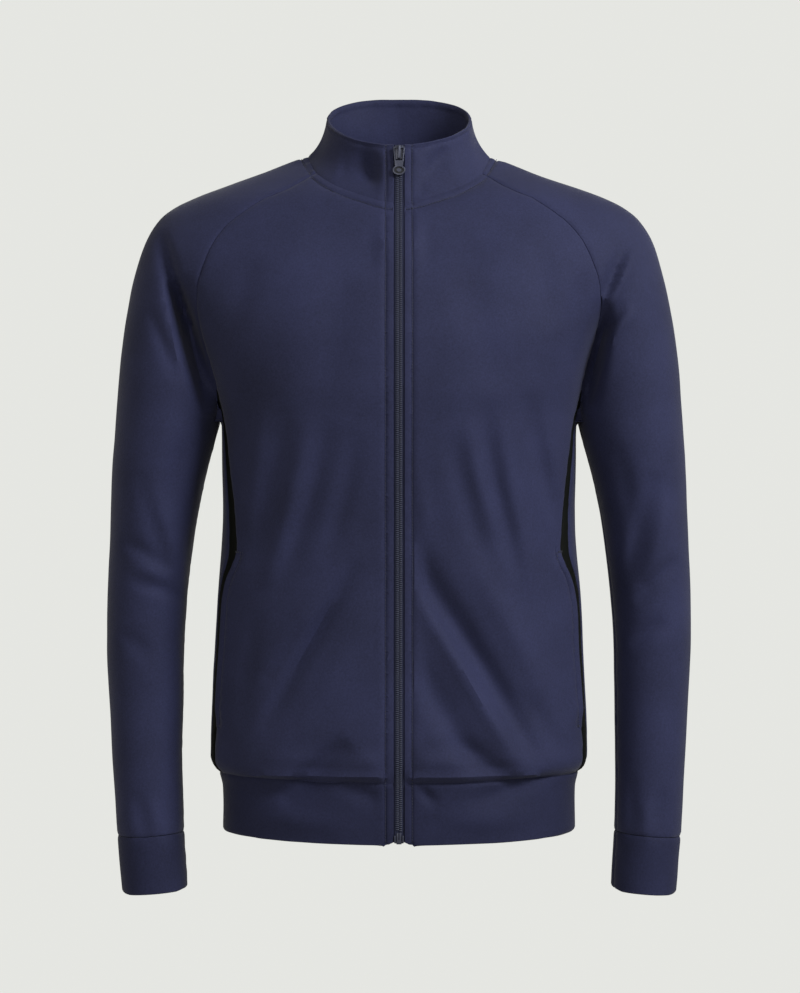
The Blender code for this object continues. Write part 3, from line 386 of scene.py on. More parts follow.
# Soft unevenness of worn cloth: size of the waves and their height.
WAVES = ((70.0, 0.9), (26.0, 0.22))
WAVE_SEED = 3                   # so that it is the same at each run

SEAM_TURN = {1: 9.0, -1: -7.0}      # how far the under seam has turned to the front at the cuff
SEAM_TURN_BELOW, SEAM_TURN_OVER = 40.0, 120.0   # from so far below the underarm, over this

# Zip.
ZIP_HEIGHTS = np.linspace(-58, -610, 93)
TAPE_THICK = 0.8
TAPE_BARE, TAPE_RISE = 4.2, 1.0         # its bare half width, and how far it lies back there
TAPE_COLUMNS = (-0.3, 1.6, 3, TAPE_BARE, 4.6, 4.9, 5.3, 7.5, 12.0)
TAPE_STEP, TAPE_GAP = 1.0, 0.45         # it steps back over this, to this behind the fronts
TAPE_COLLAR_END, TAPE_BAND_START = -62.0, -605.0
CHAIN_TOP, CHAIN_END = 0.1, -663.7
TOOTH_PITCH = 2.0
TOOTH_REACH = (-0.25, 3.4)      # a tooth runs from here to here, out from the middle
TOOTH_HIGH, TOOTH_WIDE, TOOTH_SINK = 0.7, 0.55, 0.55

PULL_REST_Z = -27.0             # the pull hangs along the zip down to this height
PULL_OUT = (1.85, 3.25)         # nearer and farther face of the pull, out from the zip
PULL_EYE_DOWN = 26.0            # its oval end, down from the collar's edge
BOX_MIDDLE_Z = -669.75
# near-black colour of a disc on the floor of the pull's recess: painted shade
RECESS_SHADE_COLOUR = (0.008, 0.009, 0.014)

# Stitching, and the bars of close stitches at the pocket's ends.
NECK_STITCH_END = 90.0
COLLAR_STITCH = 3.2                                 # down from the collar's upper edge
STITCH_SINK = 0.15
TACKS = ((POCKET_TOP, 5.5), (POCKET_LOW, 8.0))      # height, and length inside the edge
TACK_ROWS, TACK_OVER = (-0.5, 0.5), 1.0
TACK_PITCH = 1.5                                    # in widths of the thread

# Finishes.
ROUGHNESS = {"knit": 0.75, "coil": 0.42, "metal": 0.34, "inlay": 0.7, "thread": 0.6, "floor": 0.9}
KNIT_SHEEN_ROUGHNESS, THREAD_SHEEN, METAL_SHARE = 0.4, 0.2, 0.35
PATCHES = ((16, 3), (620, 1))           # scale and detail of the soft patches and the flecks
PATCH_RANGE, PATCH_SHADES = (0.3, 0.7), (0.74, 1.26)
WALE, COURSE, KNIT_RELIEF = 0.0009, 0.0008, 0.0005

# Stage, in metres and watts.
FLOOR_Z, FLOOR_MIDDLE, FLOOR_SIZE = -1.7, 1.0, (6, 8)
WALL_HEIGHT, WALL_BEND, WALL_SEGMENTS = 5, 0.5, 12
FLOOR_COLOUR, WALL_COLOUR = (0.78, 0.785, 0.76), (0.776, 0.783, 0.752)
LIGHTS_AIM = (0, 0, -0.33)
LIGHTS = (
    ("key", (2.25, -1.8, 1.5), (1.0, 1.0), 97, (0.93, 0.96, 1)),
    ("front", (-0.7, -3.5, 0.6), (1.6, 1.2), 17, (1, 0.98, 0.93)),
    ("back", (0.6, 2.8, 0.5), (1.4, 1.4), 18, (0.97, 0.98, 1)),
)
WORLD_COLOUR, WORLD_STRENGTH = (0.82, 0.8, 0.71), 0.42
CAMERA_PLACE, CAMERA_SENSOR, CAMERA_LENS, CAMERA_REACH = (0.001, -3.0, -0.340), 36, 108.76, 50


# ---------------------------------------------------------------- user values


class JacketSewing(bpy.types.PropertyGroup):
    """Sizes of the sewing and of the cloth's relief."""

    stitch_length: FloatProperty(
        name="Stitch length", description="Length of one stitch of topstitching",
        default=0.0021, unit="LENGTH",
    )
    stitch_pitch: FloatProperty(
        name="Stitch pitch", description="Distance from one stitch to the next",
        default=0.0029, unit="LENGTH",
    )
    thread_width: FloatProperty(
        name="Thread width", description="Thickness of the sewing thread",
        default=0.0007, unit="LENGTH",
    )
    crease_strength: FloatProperty(
        name="Crease strength", description="Share of the drawn depth that creases have",
        default=1.0, subtype="FACTOR",
    )


class JacketColours(bpy.types.PropertyGroup):
    """Colours of cloth, thread and zip."""

    navy: FloatVectorProperty(
        name="Navy", description="Colour of the double-knit cloth",
        subtype="COLOR", size=3, default=(0.0235, 0.0265, 0.072),
    )
    side: FloatVectorProperty(
        name="Side panel", description="Colour of the narrow side panels",
        subtype="COLOR", size=3, default=(0.006, 0.0066, 0.0056),
    )
    thread: FloatVectorProperty(
        name="Thread", description="Colour of the sewing thread",
        subtype="COLOR", size=3, default=(0.010, 0.012, 0.032),
    )
    tape: FloatVectorProperty(
        name="Zip tape", description="Colour of the woven zip tape and the coil",
        subtype="COLOR", size=3, default=(0.018, 0.021, 0.05),
    )
    coil: FloatVectorProperty(
        name="Zip coil", description="Colour of the zip's nylon coil",
        subtype="COLOR", size=3, default=(0.055, 0.061, 0.1),
    )
    metal: FloatVectorProperty(
        name="Zip metal", description="Colour of the painted slider and pull",
        subtype="COLOR", size=3, default=(0.05, 0.055, 0.088),
    )


# ---------------------------------------------------------------- curves through tables


def curve_through(at, value):
    """A smooth curve through the points that never overshoots them, held at its ends."""
    at, value = np.array(at, float), np.array(value, float)
    order = np.argsort(at)
    at, value = at[order], value[order]
    step = np.diff(value) / np.diff(at)
    slope = np.zeros(len(at))
    slope[0], slope[-1] = step[0], step[-1]
    before, after = step[:-1], step[1:]
    same_way = before * after > 0
    total = np.where(same_way, before + after, 1.0)
    slope[1:-1] = np.where(same_way, 2 * before * after / total, 0.0)

    def read(where):
        where = np.clip(where, at[0], at[-1])
        right = np.clip(np.searchsorted(at, where), 1, len(at) - 1)
        left = right - 1
        width = at[right] - at[left]
        t = (where - at[left]) / width
        start = (1 + 2 * t) * (1 - t) ** 2 * value[left] + t * (1 - t) ** 2 * width * slope[left]
        end = t * t * (3 - 2 * t) * value[right] - t * t * (1 - t) * width * slope[right]
        return start + end

    return read


def table_curves(columns, rows):
    """One smooth curve over the first column for each other column of a table."""
    data = np.array(rows, float)
    return {columns[i]: curve_through(data[:, 0], data[:, i]) for i in range(1, len(columns))}


def lengths_along(points):
    """The length of a polyline up to each of its points."""
    steps = np.linalg.norm(np.diff(np.array(points, float), axis=0), axis=1)
    return np.concatenate([[0.0], np.cumsum(steps)])


def at_lengths(points, wanted):
    """Points at the wanted lengths along a polyline."""
    points = np.array(points, float)
    length = lengths_along(points)
    return np.stack([np.interp(wanted, length, points[:, i]) for i in range(points.shape[1])], -1)


def spread(points, count, marks=(0,)):
    """Count points along a polyline: at the marked lengths, then at equal distances."""
    total = lengths_along(points)[-1]
    rest = np.linspace(marks[-1], total, count - len(marks) + 1)
    return at_lengths(points, np.concatenate([marks, rest[1:]]))


def smooth_step(t):
    """0 below 0, 1 above 1, and an even S between them."""
    t = np.clip(t, 0, 1)
    return t * t * (3 - 2 * t)


BODY_AT = table_curves(BODY_COLUMNS, BODY)
SLEEVE_AT = table_curves(SLEEVE_COLUMNS, SLEEVE)
SIDE_AT = table_curves(SIDE_COLUMNS, SIDE_PANEL)
SIDE_TOP = SIDE_PANEL[-1][0]
NECK_AT = {
    "front": curve_through(*zip(*NECK_FRONT)),
    "back": curve_through(*zip(*NECK_BACK)),
}
OTHER_FACE = {"front": "back", "back": "front"}
FACE_SIGN = {"front": -1, "back": 1}
SIDES = ((1, "left"), (-1, "right"))


# ---------------------------------------------------------------- the jacket's surface


def rounded(u, squareness):
    """Height of a rounded cross section of half width and height 1."""
    return np.maximum(0.0, 1 - np.abs(u) ** squareness) ** (1 / squareness)


def arm_depth(across, z, face):
    """Depth of one sleeve from its own line."""
    outer, inner = SLEEVE_AT["outer"](z), SLEEVE_AT["inner"](z)
    from_middle = (across - (outer + inner) / 2) / ((outer - inner) / 2)
    return SLEEVE_AT[face](z) * rounded(from_middle, ARM_SQUARE)


def depth(x, z, face):
    """Depth of the cloth from the side line, where x may be in the body or a sleeve."""
    across = np.abs(x)
    body = BODY_AT[face](z) * rounded(across / BODY_AT["side"](z), BODY_SQUARE)
    arm = arm_depth(across, z, face)
    joined = (body**JOIN_SHARPNESS + arm**JOIN_SHARPNESS) ** (1 / JOIN_SHARPNESS)
    yoke = BODY_AT[face](z) * rounded(across / SLEEVE_AT["outer"](z), YOKE_SQUARE)
    share = smooth_step((z - YOKE_TOP) / (YOKE_BOTTOM - YOKE_TOP))
    return yoke * (1 - share) + joined * share


def side_line(x, z):
    """How far behind the middle plane the cloth turns from front to back."""
    past_body = (np.abs(x) - BODY_AT["side"](z)) / SIDE_LINE_FADE
    return SLEEVE_AT["line"](z) * smooth_step(past_body)


def on_surface(x, z, face):
    """The point of the cloth at x and z on one face, as columns x, y, z."""
    x, z = np.broadcast_arrays(np.asarray(x, float), np.asarray(z, float))
    return np.stack([x, side_line(x, z) + FACE_SIGN[face] * depth(x, z, face), z], -1)


@functools.lru_cache(maxsize=None)
def measuring_tape(z, face):
    """Points along the cloth at one height, with their lengths from the middle of a face.

    Below the underarm the tape goes on round the side to the middle of the other face.
    """
    turn = np.linspace(0, math.pi / 2, TAPE_STEPS)
    if z > UNDERARM_Z:
        points = on_surface(SLEEVE_AT["outer"](z) * np.sin(turn), z, face)
    else:
        across = BODY_AT["side"](z) * np.sin(turn) ** (2 / BODY_SQUARE)
        there = on_surface(across, z, OTHER_FACE[face])
        points = np.concatenate([on_surface(across, z, face), there[-2::-1]])
    return points, lengths_along(points)


def measure(x, z, face, other_side=False):
    """Length along the tape from the middle of a face to x, or to x past the side."""
    points, length = measuring_tape(round(float(z), 2), face)
    side = int(np.argmax(points[:, 0]))
    if not other_side:
        return float(np.interp(abs(x), points[: side + 1, 0], length[: side + 1]))
    return float(np.interp(-abs(x), -points[side:, 0], length[side:]))


def at_measure(wanted, z, face):
    """The point, or points, at measured lengths along the tape."""
    points, length = measuring_tape(round(float(z), 2), face)
    return np.stack([np.interp(wanted, length, points[:, i]) for i in range(3)], -1)


def flat_of(points, face):
    """Points of the cloth laid flat: measured length along the tape, and height."""
    return np.array([[measure(x, z, face), z] for x, _, z in points])


def placed(flat, face):
    """Flat points put back on the cloth, the other way round from flat_of."""
    return np.array([at_measure(m, z, face) for m, z in flat])


def on_front(m, z):
    """The point of the front or the side panel at a flat place."""
    return at_measure(m, z, "front")


def on_back(m, z):
    """The point of the back at a flat place on either side of its middle."""
    return at_measure(abs(m), z, "back") * [math.copysign(1, m), 1, 1]


def crease_height(x, z, face):
    """Height of all ridges and troughs of one face, each fading out towards its ends."""
    total = np.zeros(len(x))
    for row in CREASES[face]:
        crease = {"bow": 0, "lean": 0, **dict(zip(CREASE_COLUMNS, row))}
        from_x, from_z = x - crease["x1"], z - crease["z1"]
        run_x, run_z = crease["x2"] - crease["x1"], crease["z2"] - crease["z1"]
        run = math.hypot(run_x, run_z)
        share = (from_x * run_x + from_z * run_z) / run**2
        inside = np.clip(share, 0, 1)
        swing = 4 * crease["bow"] * inside * (1 - inside)
        aside = (from_z * run_x - from_x * run_z) / run - swing
        beyond = (share - inside) * run
        width = crease["width"] * (1 + crease["lean"] * np.sign(aside))
        away = np.hypot(aside / width, beyond / crease["width"])
        total += crease["height"] * np.exp(-(away**2)) * (1 - (2 * inside - 1) ** 2)
    return total


def creased(points):
    """The points moved in or out by the creases near them and by soft waves."""
    x, y, z = points.T
    out = y - side_line(x, z)
    fade = smooth_step(np.abs(out) / CREASE_FADE)
    fade = fade * smooth_step((np.abs(x) - ZIP_STIFF_TO) / ZIP_STIFFNESS)
    strength = bpy.context.scene.jacket_sewing.crease_strength
    height = np.where(out < 0, -crease_height(x, z, "front"), crease_height(x, z, "back"))
    moved = points + np.stack([0 * x, strength * height * fade, 0 * z], 1)
    return moved + waves(points) * smooth_step((np.abs(x) - ZIP_EDGE) / ZIP_STIFFNESS)[:, None]


def waves(points):
    """Small soft shifts of the cloth, the same for every piece that has a point there."""
    total = np.zeros_like(points)
    for size, height in WAVES:
        total += height * np.array([noise.noise_vector(Vector(p) / size) for p in points])
    return total


# ---------------------------------------------------------------- seams


def neckline(face, start, end, count, marks=(0,)):
    """Points on the neckline of one face between two distances from the middle."""
    x = np.linspace(start, end, NECK_STEPS)
    points = on_surface(x, NECK_AT[face](x), face)
    points[x >= NECK_FRONT[-1][0], 1] = 0.0
    return spread(points, count, marks)


def front_neck():
    """The neckline of a front, from the zip to the raglan seam."""
    end = RAGLAN_AT_NECK["front"]
    return neckline("front", ZIP_EDGE, end, NECK_POINTS["front"], ZIP_MARKS)


def back_neck():
    """Half of the back's neckline, from the raglan seam to the middle."""
    return neckline("back", RAGLAN_AT_NECK["back"], 0, NECK_POINTS["back"])


def shoulder_neck(face):
    """One face of the sleeve's neckline, from the raglan seam to the top of the shoulder."""
    return neckline(face, RAGLAN_AT_NECK[face], NECK_FRONT[-1][0], CAP_COLUMNS)


def armhole_part(face, first, last, count, marks=(0,)):
    """Points along the armhole seam between two of its knots."""
    knots = np.array(ARMHOLE[face], float)
    length = lengths_along(knots)
    t = np.linspace(length[first], length[last], ARMHOLE_STEPS)
    x, z = (curve_through(length, knots[:, i])(t) for i in range(2))
    return spread(on_surface(x, z, face), count, marks)


@functools.lru_cache(maxsize=None)
def armhole(face):
    """The whole armhole seam of one face, a point for each row of the sleeve's cap."""
    raglan = armhole_part(face, 0, RAGLAN_END[face], RAGLAN_POINTS, NECK_MARKS)
    last = len(ARMHOLE[face]) - 1
    if face == "front":
        tip = armhole_part(face, RAGLAN_END[face], PANEL_TIP_END, TIP_POINTS)
        under = armhole_part(face, PANEL_TIP_END, last, UNDER_POINTS)
        return np.concatenate([raglan, tip[1:], under[1:]])
    under = armhole_part(face, RAGLAN_END[face], last, TIP_POINTS + UNDER_POINTS - 1)
    return np.concatenate([raglan, under[1:]])


@functools.lru_cache(maxsize=None)
def side_edges():
    """Front and back edge of the side panel, from the hem up, and their flat lengths."""
    heights = np.linspace(HEM_SEAM_Z, SIDE_TOP, SIDE_POINTS)
    seam = SIDE_AT["seam"](heights)
    start = np.array([measure(x, z, "front") for x, z in zip(seam, heights)])
    end = start + SIDE_AT["width"](heights)
    front_edge = np.array([on_surface(x, z, "front") for x, z in zip(seam, heights)])
    back_edge = placed(zip(end, heights), "front")
    ring = band_ring(0)
    front_edge[0], back_edge[0] = ring[HEM_FRONT - 1], ring[HEM_FRONT + HEM_SIDE]
    back_edge[-1] = armhole("front")[RAGLAN_POINTS + TIP_POINTS - 2]
    return heights, front_edge, back_edge, start, end


@functools.lru_cache(maxsize=None)
def band_shares():
    """Where the points of the hem seam lie, as shares of the way from zip to middle back."""
    total = measuring_tape(HEM_SEAM_Z, "front")[1][-1]
    start = measure(ZIP_EDGE, HEM_SEAM_Z, "front")
    seam = measure(SIDE_PANEL[0][1], HEM_SEAM_Z, "front")
    end = seam + SIDE_PANEL[0][2]
    marks = start + np.array(ZIP_MARKS)
    parts = [
        marks,
        np.linspace(marks[-1], seam, HEM_FRONT - len(marks) + 1)[1:],
        np.linspace(seam, end, HEM_SIDE + 2)[1:-1],
        np.linspace(end, total, HEM_BACK),
    ]
    return (np.concatenate(parts) - start) / (total - start)


def band_ring(drop):
    """Half of the hem band at a share of its height, from the zip to the middle back."""
    z = HEM_SEAM_Z + (HEM_Z - HEM_SEAM_Z) * drop
    points, length = measuring_tape(round(z, 2), "front")
    start = measure(ZIP_EDGE, z, "front")
    ring = at_lengths(points, start + band_shares() * (length[-1] - start))
    front = ring[:, 1] < 0
    ring[front, 2] -= HEM_DIP * (1 - (ring[front, 0] / BODY_AT["side"](z)) ** 2)
    corner = np.clip(1 - (ring[:, 0] - ZIP_EDGE) / HEM_CORNER["run"], 0, 1) * front
    low = max(0.0, (drop - HEM_CORNER["from"]) / (1 - HEM_CORNER["from"]))
    ring[:, 2] += HEM_CORNER["rise"] * corner * low
    return drawn_in(ring, z - HEM_Z, 0, BODY_AT["side"](z))


def drawn_in(ring, above, middle, half):
    """A ring of folded cloth whose two sides curl in just above its lower edge."""
    left = max(EDGE_ROUND - above, 0.0)
    inset = EDGE_ROUND - math.sqrt(EDGE_ROUND**2 - left**2)
    share = (ring[:, 0] - middle) / half
    curl = smooth_step((np.abs(share) - CURL_FROM) / (1 - CURL_FROM))
    ring[:, 0] -= np.sign(share) * inset * curl
    return ring


def ring_ends(z):
    """Inner and outer end, as x and z, of a sleeve ring square to the arm."""
    outer, inner = SLEEVE_AT["outer"], SLEEVE_AT["inner"]
    middle = [(outer(h) + inner(h)) / 2 for h in (z - SLOPE_REACH, z + SLOPE_REACH)]
    rise = float(outer(z) - inner(z)) / 2
    rise *= float(middle[0] - middle[1]) / (2 * SLOPE_REACH)
    return (float(inner(z - rise)), z - rise), (float(outer(z + rise)), z + rise)


def underarm_ring_z():
    """Height of the ring whose inner end is the underarm."""
    z = UNDERARM_Z
    for _ in range(SETTLING_ROUNDS):
        z += UNDERARM_Z - ring_ends(z)[0][1]
    return z


RING_TOP = underarm_ring_z()


def collar_base():
    """Half of the neckline, from the zip over the shoulder to the middle back."""
    fourth = slice(None, -1, 4)
    down = neckline("back", NECK_BACK[-1][0], RAGLAN_AT_NECK["back"], CAP_COLUMNS)
    parts = [front_neck()[:-1], shoulder_neck("front")[fourth], down[fourth], back_neck()]
    return np.concatenate(parts)


def collar_top(shares, start_x):
    """Half of the collar's upper edge, from the zip to the middle back."""
    top = COLLAR_TOP
    turn = np.linspace(math.asin(start_x / top["half"]), math.pi, LINE_STEPS)
    in_front = turn < math.pi / 2
    reach = np.where(in_front, top["widest"] - top["front"], top["back"] - top["widest"])
    y = top["widest"] - reach * np.cos(turn)
    z = top["front_z"] + top["rise"] * (y - top["front"])
    round_back = np.where(in_front, 1, top["squareness"])
    line = np.stack([top["half"] * np.maximum(np.sin(turn), 0) ** round_back, y, z], 1)
    return at_lengths(line, shares * lengths_along(line)[-1])


@functools.lru_cache(maxsize=None)
def collar_rows():
    """Half rows of the collar from its seam to its top, each from the zip to the back."""
    base = collar_base()
    length = lengths_along(base)
    near_zip = np.minimum(length, ZIP_MARKS[-1])
    past_marks = np.arange(len(base)) - len(ZIP_MARKS) + 1
    even = np.clip(past_marks / (len(base) - len(ZIP_MARKS)), 0, 1)
    top_length = lengths_along(collar_top(np.linspace(0, 1, LINE_STEPS), ZIP_EDGE))[-1]
    shares = (near_zip + (top_length - near_zip[-1]) * even) / top_length
    top = collar_top(shares, ZIP_EDGE)
    rows = []
    for share in COLLAR_SHARES:
        waist = COLLAR_WAIST * 4 * share * (1 - share) * (1 - WAIST_LOSS * share)
        row = base + (top - base) * share
        drawn = np.minimum(1, np.abs(row[:, :1]) / WAIST_REACH + WAIST_AT_MIDDLE)
        rows.append(row - unit(row * [1, 1, 0]) * drawn * waist)
    return rows


# ---------------------------------------------------------------- from points to cloth


def unit(vectors):
    """The same directions, each of length 1."""
    size = np.linalg.norm(vectors, axis=-1, keepdims=True)
    return vectors / np.where(size > 1e-9, size, 1)


def face_normals(points, triangles):
    """A vector square to each triangle, as long as twice its area."""
    a, b, c = (points[triangles[:, i]] for i in range(3))
    return np.cross(b - a, c - a)


def point_normals(points, triangles):
    """The direction away from the cloth at each point."""
    normals = np.zeros_like(points)
    for i in range(3):
        np.add.at(normals, triangles[:, i], face_normals(points, triangles))
    return unit(normals)


def pushed_out(points, triangles, height):
    """The points moved away from the cloth by a height for each."""
    return points + point_normals(points, triangles) * height[:, None]


def mirrored(half, closed=False):
    """Half a row, or half a closed outline, followed by its mirror image."""
    other = half[-2 : 0 if closed else None : -1]
    return np.concatenate([half, other * [-1, 1, 1][: half.shape[1]]])


def edge_pairs(triangles):
    """Edges with a triangle on one side only, each in that triangle's direction."""
    directed = np.concatenate([triangles[:, [0, 1]], triangles[:, [1, 2]], triangles[:, [2, 0]]])
    known = {tuple(edge) for edge in directed.tolist()}
    return np.array([edge for edge in directed.tolist() if (edge[1], edge[0]) not in known])


def grid_triangles(points, columns, closed=False):
    """Triangles of a grid of points kept row by row, each square cut the shorter way."""
    rows = len(points) // columns
    column = np.arange(columns if closed else columns - 1)
    a = (np.arange(rows - 1)[:, None] * columns + column).ravel()
    b = (np.arange(rows - 1)[:, None] * columns + (column + 1) % columns).ravel()
    c, d = b + columns, a + columns
    first = np.linalg.norm(points[a] - points[c], axis=1)
    one_way = (first < np.linalg.norm(points[b] - points[d], axis=1))[:, None]
    lower = np.where(one_way, np.stack([a, b, c], 1), np.stack([a, b, d], 1))
    upper = np.where(one_way, np.stack([a, c, d], 1), np.stack([b, c, d], 1))
    return np.concatenate([lower, upper])


def distance_to(line, points):
    """Distance of each flat point to a polyline."""
    start, run = line[:-1], np.diff(line, axis=0)
    size = np.maximum((run**2).sum(1), 1e-12)
    nearest = np.full(len(points), np.inf)
    for s, r, q in zip(start, run, size):
        t = np.clip(((points - s) @ r) / q, 0, 1)
        nearest = np.minimum(nearest, np.hypot(*(s + t[:, None] * r - points).T))
    return nearest


def inside(outline, points):
    """Which flat points lie inside a closed outline."""
    x, y = outline.T
    next_x, next_y = np.roll(x, -1), np.roll(y, -1)
    rise = np.where(next_y == y, 1, next_y - y)
    found = np.zeros(len(points), int)
    for i in range(len(x)):
        crosses = (y[i] > points[:, 1]) != (next_y[i] > points[:, 1])
        at = x[i] + (points[:, 1] - y[i]) / rise[i] * (next_x[i] - x[i])
        found += crosses & (points[:, 0] < at)
    return found % 2 == 1


def thinned(points, gap):
    """The points without those closer than a gap to one kept before."""
    cells, kept = {}, []
    for i, (x, y) in enumerate(points):
        column, row = int(x // gap), int(y // gap)
        near = [
            place
            for a in (-1, 0, 1)
            for b in (-1, 0, 1)
            for place in cells.get((column + a, row + b), ())
        ]
        if all(math.hypot(x - p, y - q) >= gap for p, q in near):
            cells.setdefault((column, row), []).append((x, y))
            kept.append(i)
    return points[kept]


def offset_line(line, distance):
    """A flat polyline moved to its left by a distance."""
    along = unit(np.gradient(line, axis=0))
    return line + distance * np.stack([-along[:, 1], along[:, 0]], 1)


def close_points(flat, closed, stitch_lines):
    """Points in close rows along a panel's outline and on both sides of its stitch lines."""
    turn = (flat[:, 0] * np.roll(flat[:, 1], -1) - np.roll(flat[:, 0], -1) * flat[:, 1]).sum()
    along = unit(np.roll(flat, -1, 0) - np.roll(flat, 1, 0)) * math.copysign(1, turn)
    inwards = np.stack([-along[:, 1], along[:, 0]], 1)
    rows = [(flat + inwards * inset, inset * EDGE_GAP) for inset in INSET_ROWS]
    for line in stitch_lines:
        beside = (0, -INSET_ROWS[0], INSET_ROWS[0])
        rows += [(offset_line(line, side), STITCH_GAP) for side in beside]
    kept = []
    for row, gap in rows:
        row = row[inside(flat, row)]
        kept.append(row[distance_to(closed, row) > gap])
    return thinned(np.concatenate(kept), POINT_GAP)


def even_points(flat, closed, stitch_lines):
    """Points of an even lattice over the rest of a panel."""
    low, high = flat.min(0), flat.max(0)
    heights = np.arange(low[1], high[1], LATTICE * LATTICE_RISE)
    shift = (np.arange(len(heights)) % 2)[:, None] * LATTICE / 2
    across = np.arange(low[0], high[0] + LATTICE, LATTICE)[None, :] + shift
    heights = np.broadcast_to(heights[:, None], across.shape)
    field = np.stack([across, heights], -1).reshape(-1, 2)
    field = field[inside(flat, field)]
    field = field[distance_to(closed, field) > INSET_ROWS[-1] + LATTICE * LATTICE_GAP]
    for line in stitch_lines:
        field = field[distance_to(line, field) > INSET_ROWS[0] + LATTICE * LATTICE_GAP]
    return field


def cut_panel(flat, solid, lift, stitch_lines):
    """A panel from its outline, flat and in place: points in place, triangles, points flat."""
    closed = np.concatenate([flat, flat[:1]])
    near = close_points(flat, closed, stitch_lines)
    kept = np.concatenate([near, even_points(flat, closed, stitch_lines)])
    every = np.concatenate([flat, kept])
    outline = [list(range(len(flat)))]
    made = delaunay_2d_cdt([tuple(p) for p in every], [], outline, 1, MERGE_WITHIN)
    source = [group[0] for group in made[3]]
    triangles = np.array([[source[i] for i in face] for face in made[2]])
    points = np.concatenate([solid, np.array([lift(m, z) for m, z in kept])])
    return points, triangles, every


def turned_out(points, triangles, axis, sign):
    """The triangles, turned round where needed so that they face one way along an axis."""
    facing = face_normals(points, triangles)[:, axis].sum() * sign
    return triangles if facing > 0 else triangles[:, ::-1]


def relief(laid, lines):
    """How far the cloth sinks at its seams and topstitching, and how near it is to them."""
    sink, near = np.zeros(len(laid)), np.zeros(len(laid))
    for line, (dip, width) in lines:
        away = distance_to(line, laid)
        sink = np.maximum(sink, dip * np.exp(-((away / width) ** 2)))
        near = np.maximum(near, np.exp(-((away / PUCKER_REACH) ** 2)))
    return sink, near


def bloused(points, laid, hem):
    """How far the body's cloth stands out just above the seam of the hem band."""
    height, place, width = HEM_BLOUSE
    from_side = smooth_step((BLOUSE_END - np.abs(points[:, 0])) / BLOUSE_FADE)
    return from_side * height * np.exp(-(((distance_to(hem, laid) - place) / width) ** 2))


def shell(points, triangles, thickness):
    """A closed shell: outer face, inner face, and a round rim between them."""
    normals = point_normals(points, triangles)
    edges = edge_pairs(triangles)
    inwards = np.zeros_like(points)
    along = points[edges[:, 1]] - points[edges[:, 0]]
    for end in range(2):
        np.add.at(inwards, edges[:, end], unit(np.cross(normals[edges[:, end]], along)))
    inwards = unit(inwards)
    outer = points + RIM_BACK * inwards
    inner = outer - thickness * normals
    rim = np.unique(edges)
    middle = points[rim] - RIM_LAP * inwards[rim] - thickness / 2 * normals[rim]
    count = len(points)
    place = np.zeros(count, int)
    place[rim] = 2 * count + np.arange(len(rim))
    a, b = edges.T
    walls = [
        (b, a, place[a]), (b, place[a], place[b]),
        (place[b], place[a], a + count), (place[b], a + count, b + count),
    ]
    faces = [triangles, triangles[:, ::-1] + count] + [np.stack(wall, 1) for wall in walls]
    source = np.concatenate([np.arange(count), np.arange(count), rim])
    return np.concatenate([outer, inner, middle]), np.concatenate(faces), source


def add_mesh(name, points, faces, material):
    """A smooth object from points in millimetres, carried by the jacket."""
    mesh = bpy.data.meshes.new(name)
    mesh.from_pydata((points * METRE).tolist(), [], faces)
    mesh.update()
    mesh.shade_smooth()
    mesh.materials.append(material)
    made = bpy.data.objects.new(name, mesh)
    bpy.context.scene.collection.objects.link(made)
    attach(made, BODY_NAME)
    return made


CUT = {}        # the flat points of each piece of cloth that is made


def sew(name, side, points, triangles, laid, lines, thickness, cloth):
    """A piece of cloth, creased and sunk at its seams, in place of the node of its name."""
    points = points * [side, 1, 1]
    if side < 0:
        triangles = triangles[:, ::-1]
    points = creased(points)
    sink, near = relief(laid, lines)
    pucker = np.array([noise.noise(Vector(p) / PUCKER_SIZE) for p in points])
    points = pushed_out(points, triangles, -sink - PUCKER * near * pucker)
    walls, wall_triangles, source = shell(points, triangles, thickness)
    slot, material = CLOTHS[cloth]
    piece = add_mesh(name, walls, wall_triangles.tolist(), material())
    piece.data.set_sharp_from_angle(angle=EDGE_ANGLE)
    corners = laid[source][wall_triangles] * METRE
    piece.data.uv_layers.new(name="cloth").data.foreach_set("uv", corners.ravel())
    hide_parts(name)
    CUT[name] = laid
    return piece


# ---------------------------------------------------------------- materials


def worked_out(tree, operation, *values):
    """The result of a maths node; each value is a socket or a number."""
    node = tree.nodes.new("ShaderNodeMath")
    node.operation = operation
    for socket, value in zip(node.inputs, values):
        if isinstance(value, bpy.types.NodeSocket):
            tree.links.new(value, socket)
        else:
            socket.default_value = value
    return node.outputs[0]


def plain_material(name, colour, roughness, **settings):
    """A finish of one colour; the settings go on the shader's own sockets."""
    material = bpy.data.materials.new(name)
    material.use_nodes = True
    shader = material.node_tree.nodes["Principled BSDF"]
    shader.inputs["Base Color"].default_value = (*colour, 1)
    shader.inputs["Roughness"].default_value = roughness
    for socket, value in settings.items():
        shader.inputs[socket].default_value = value
    return material


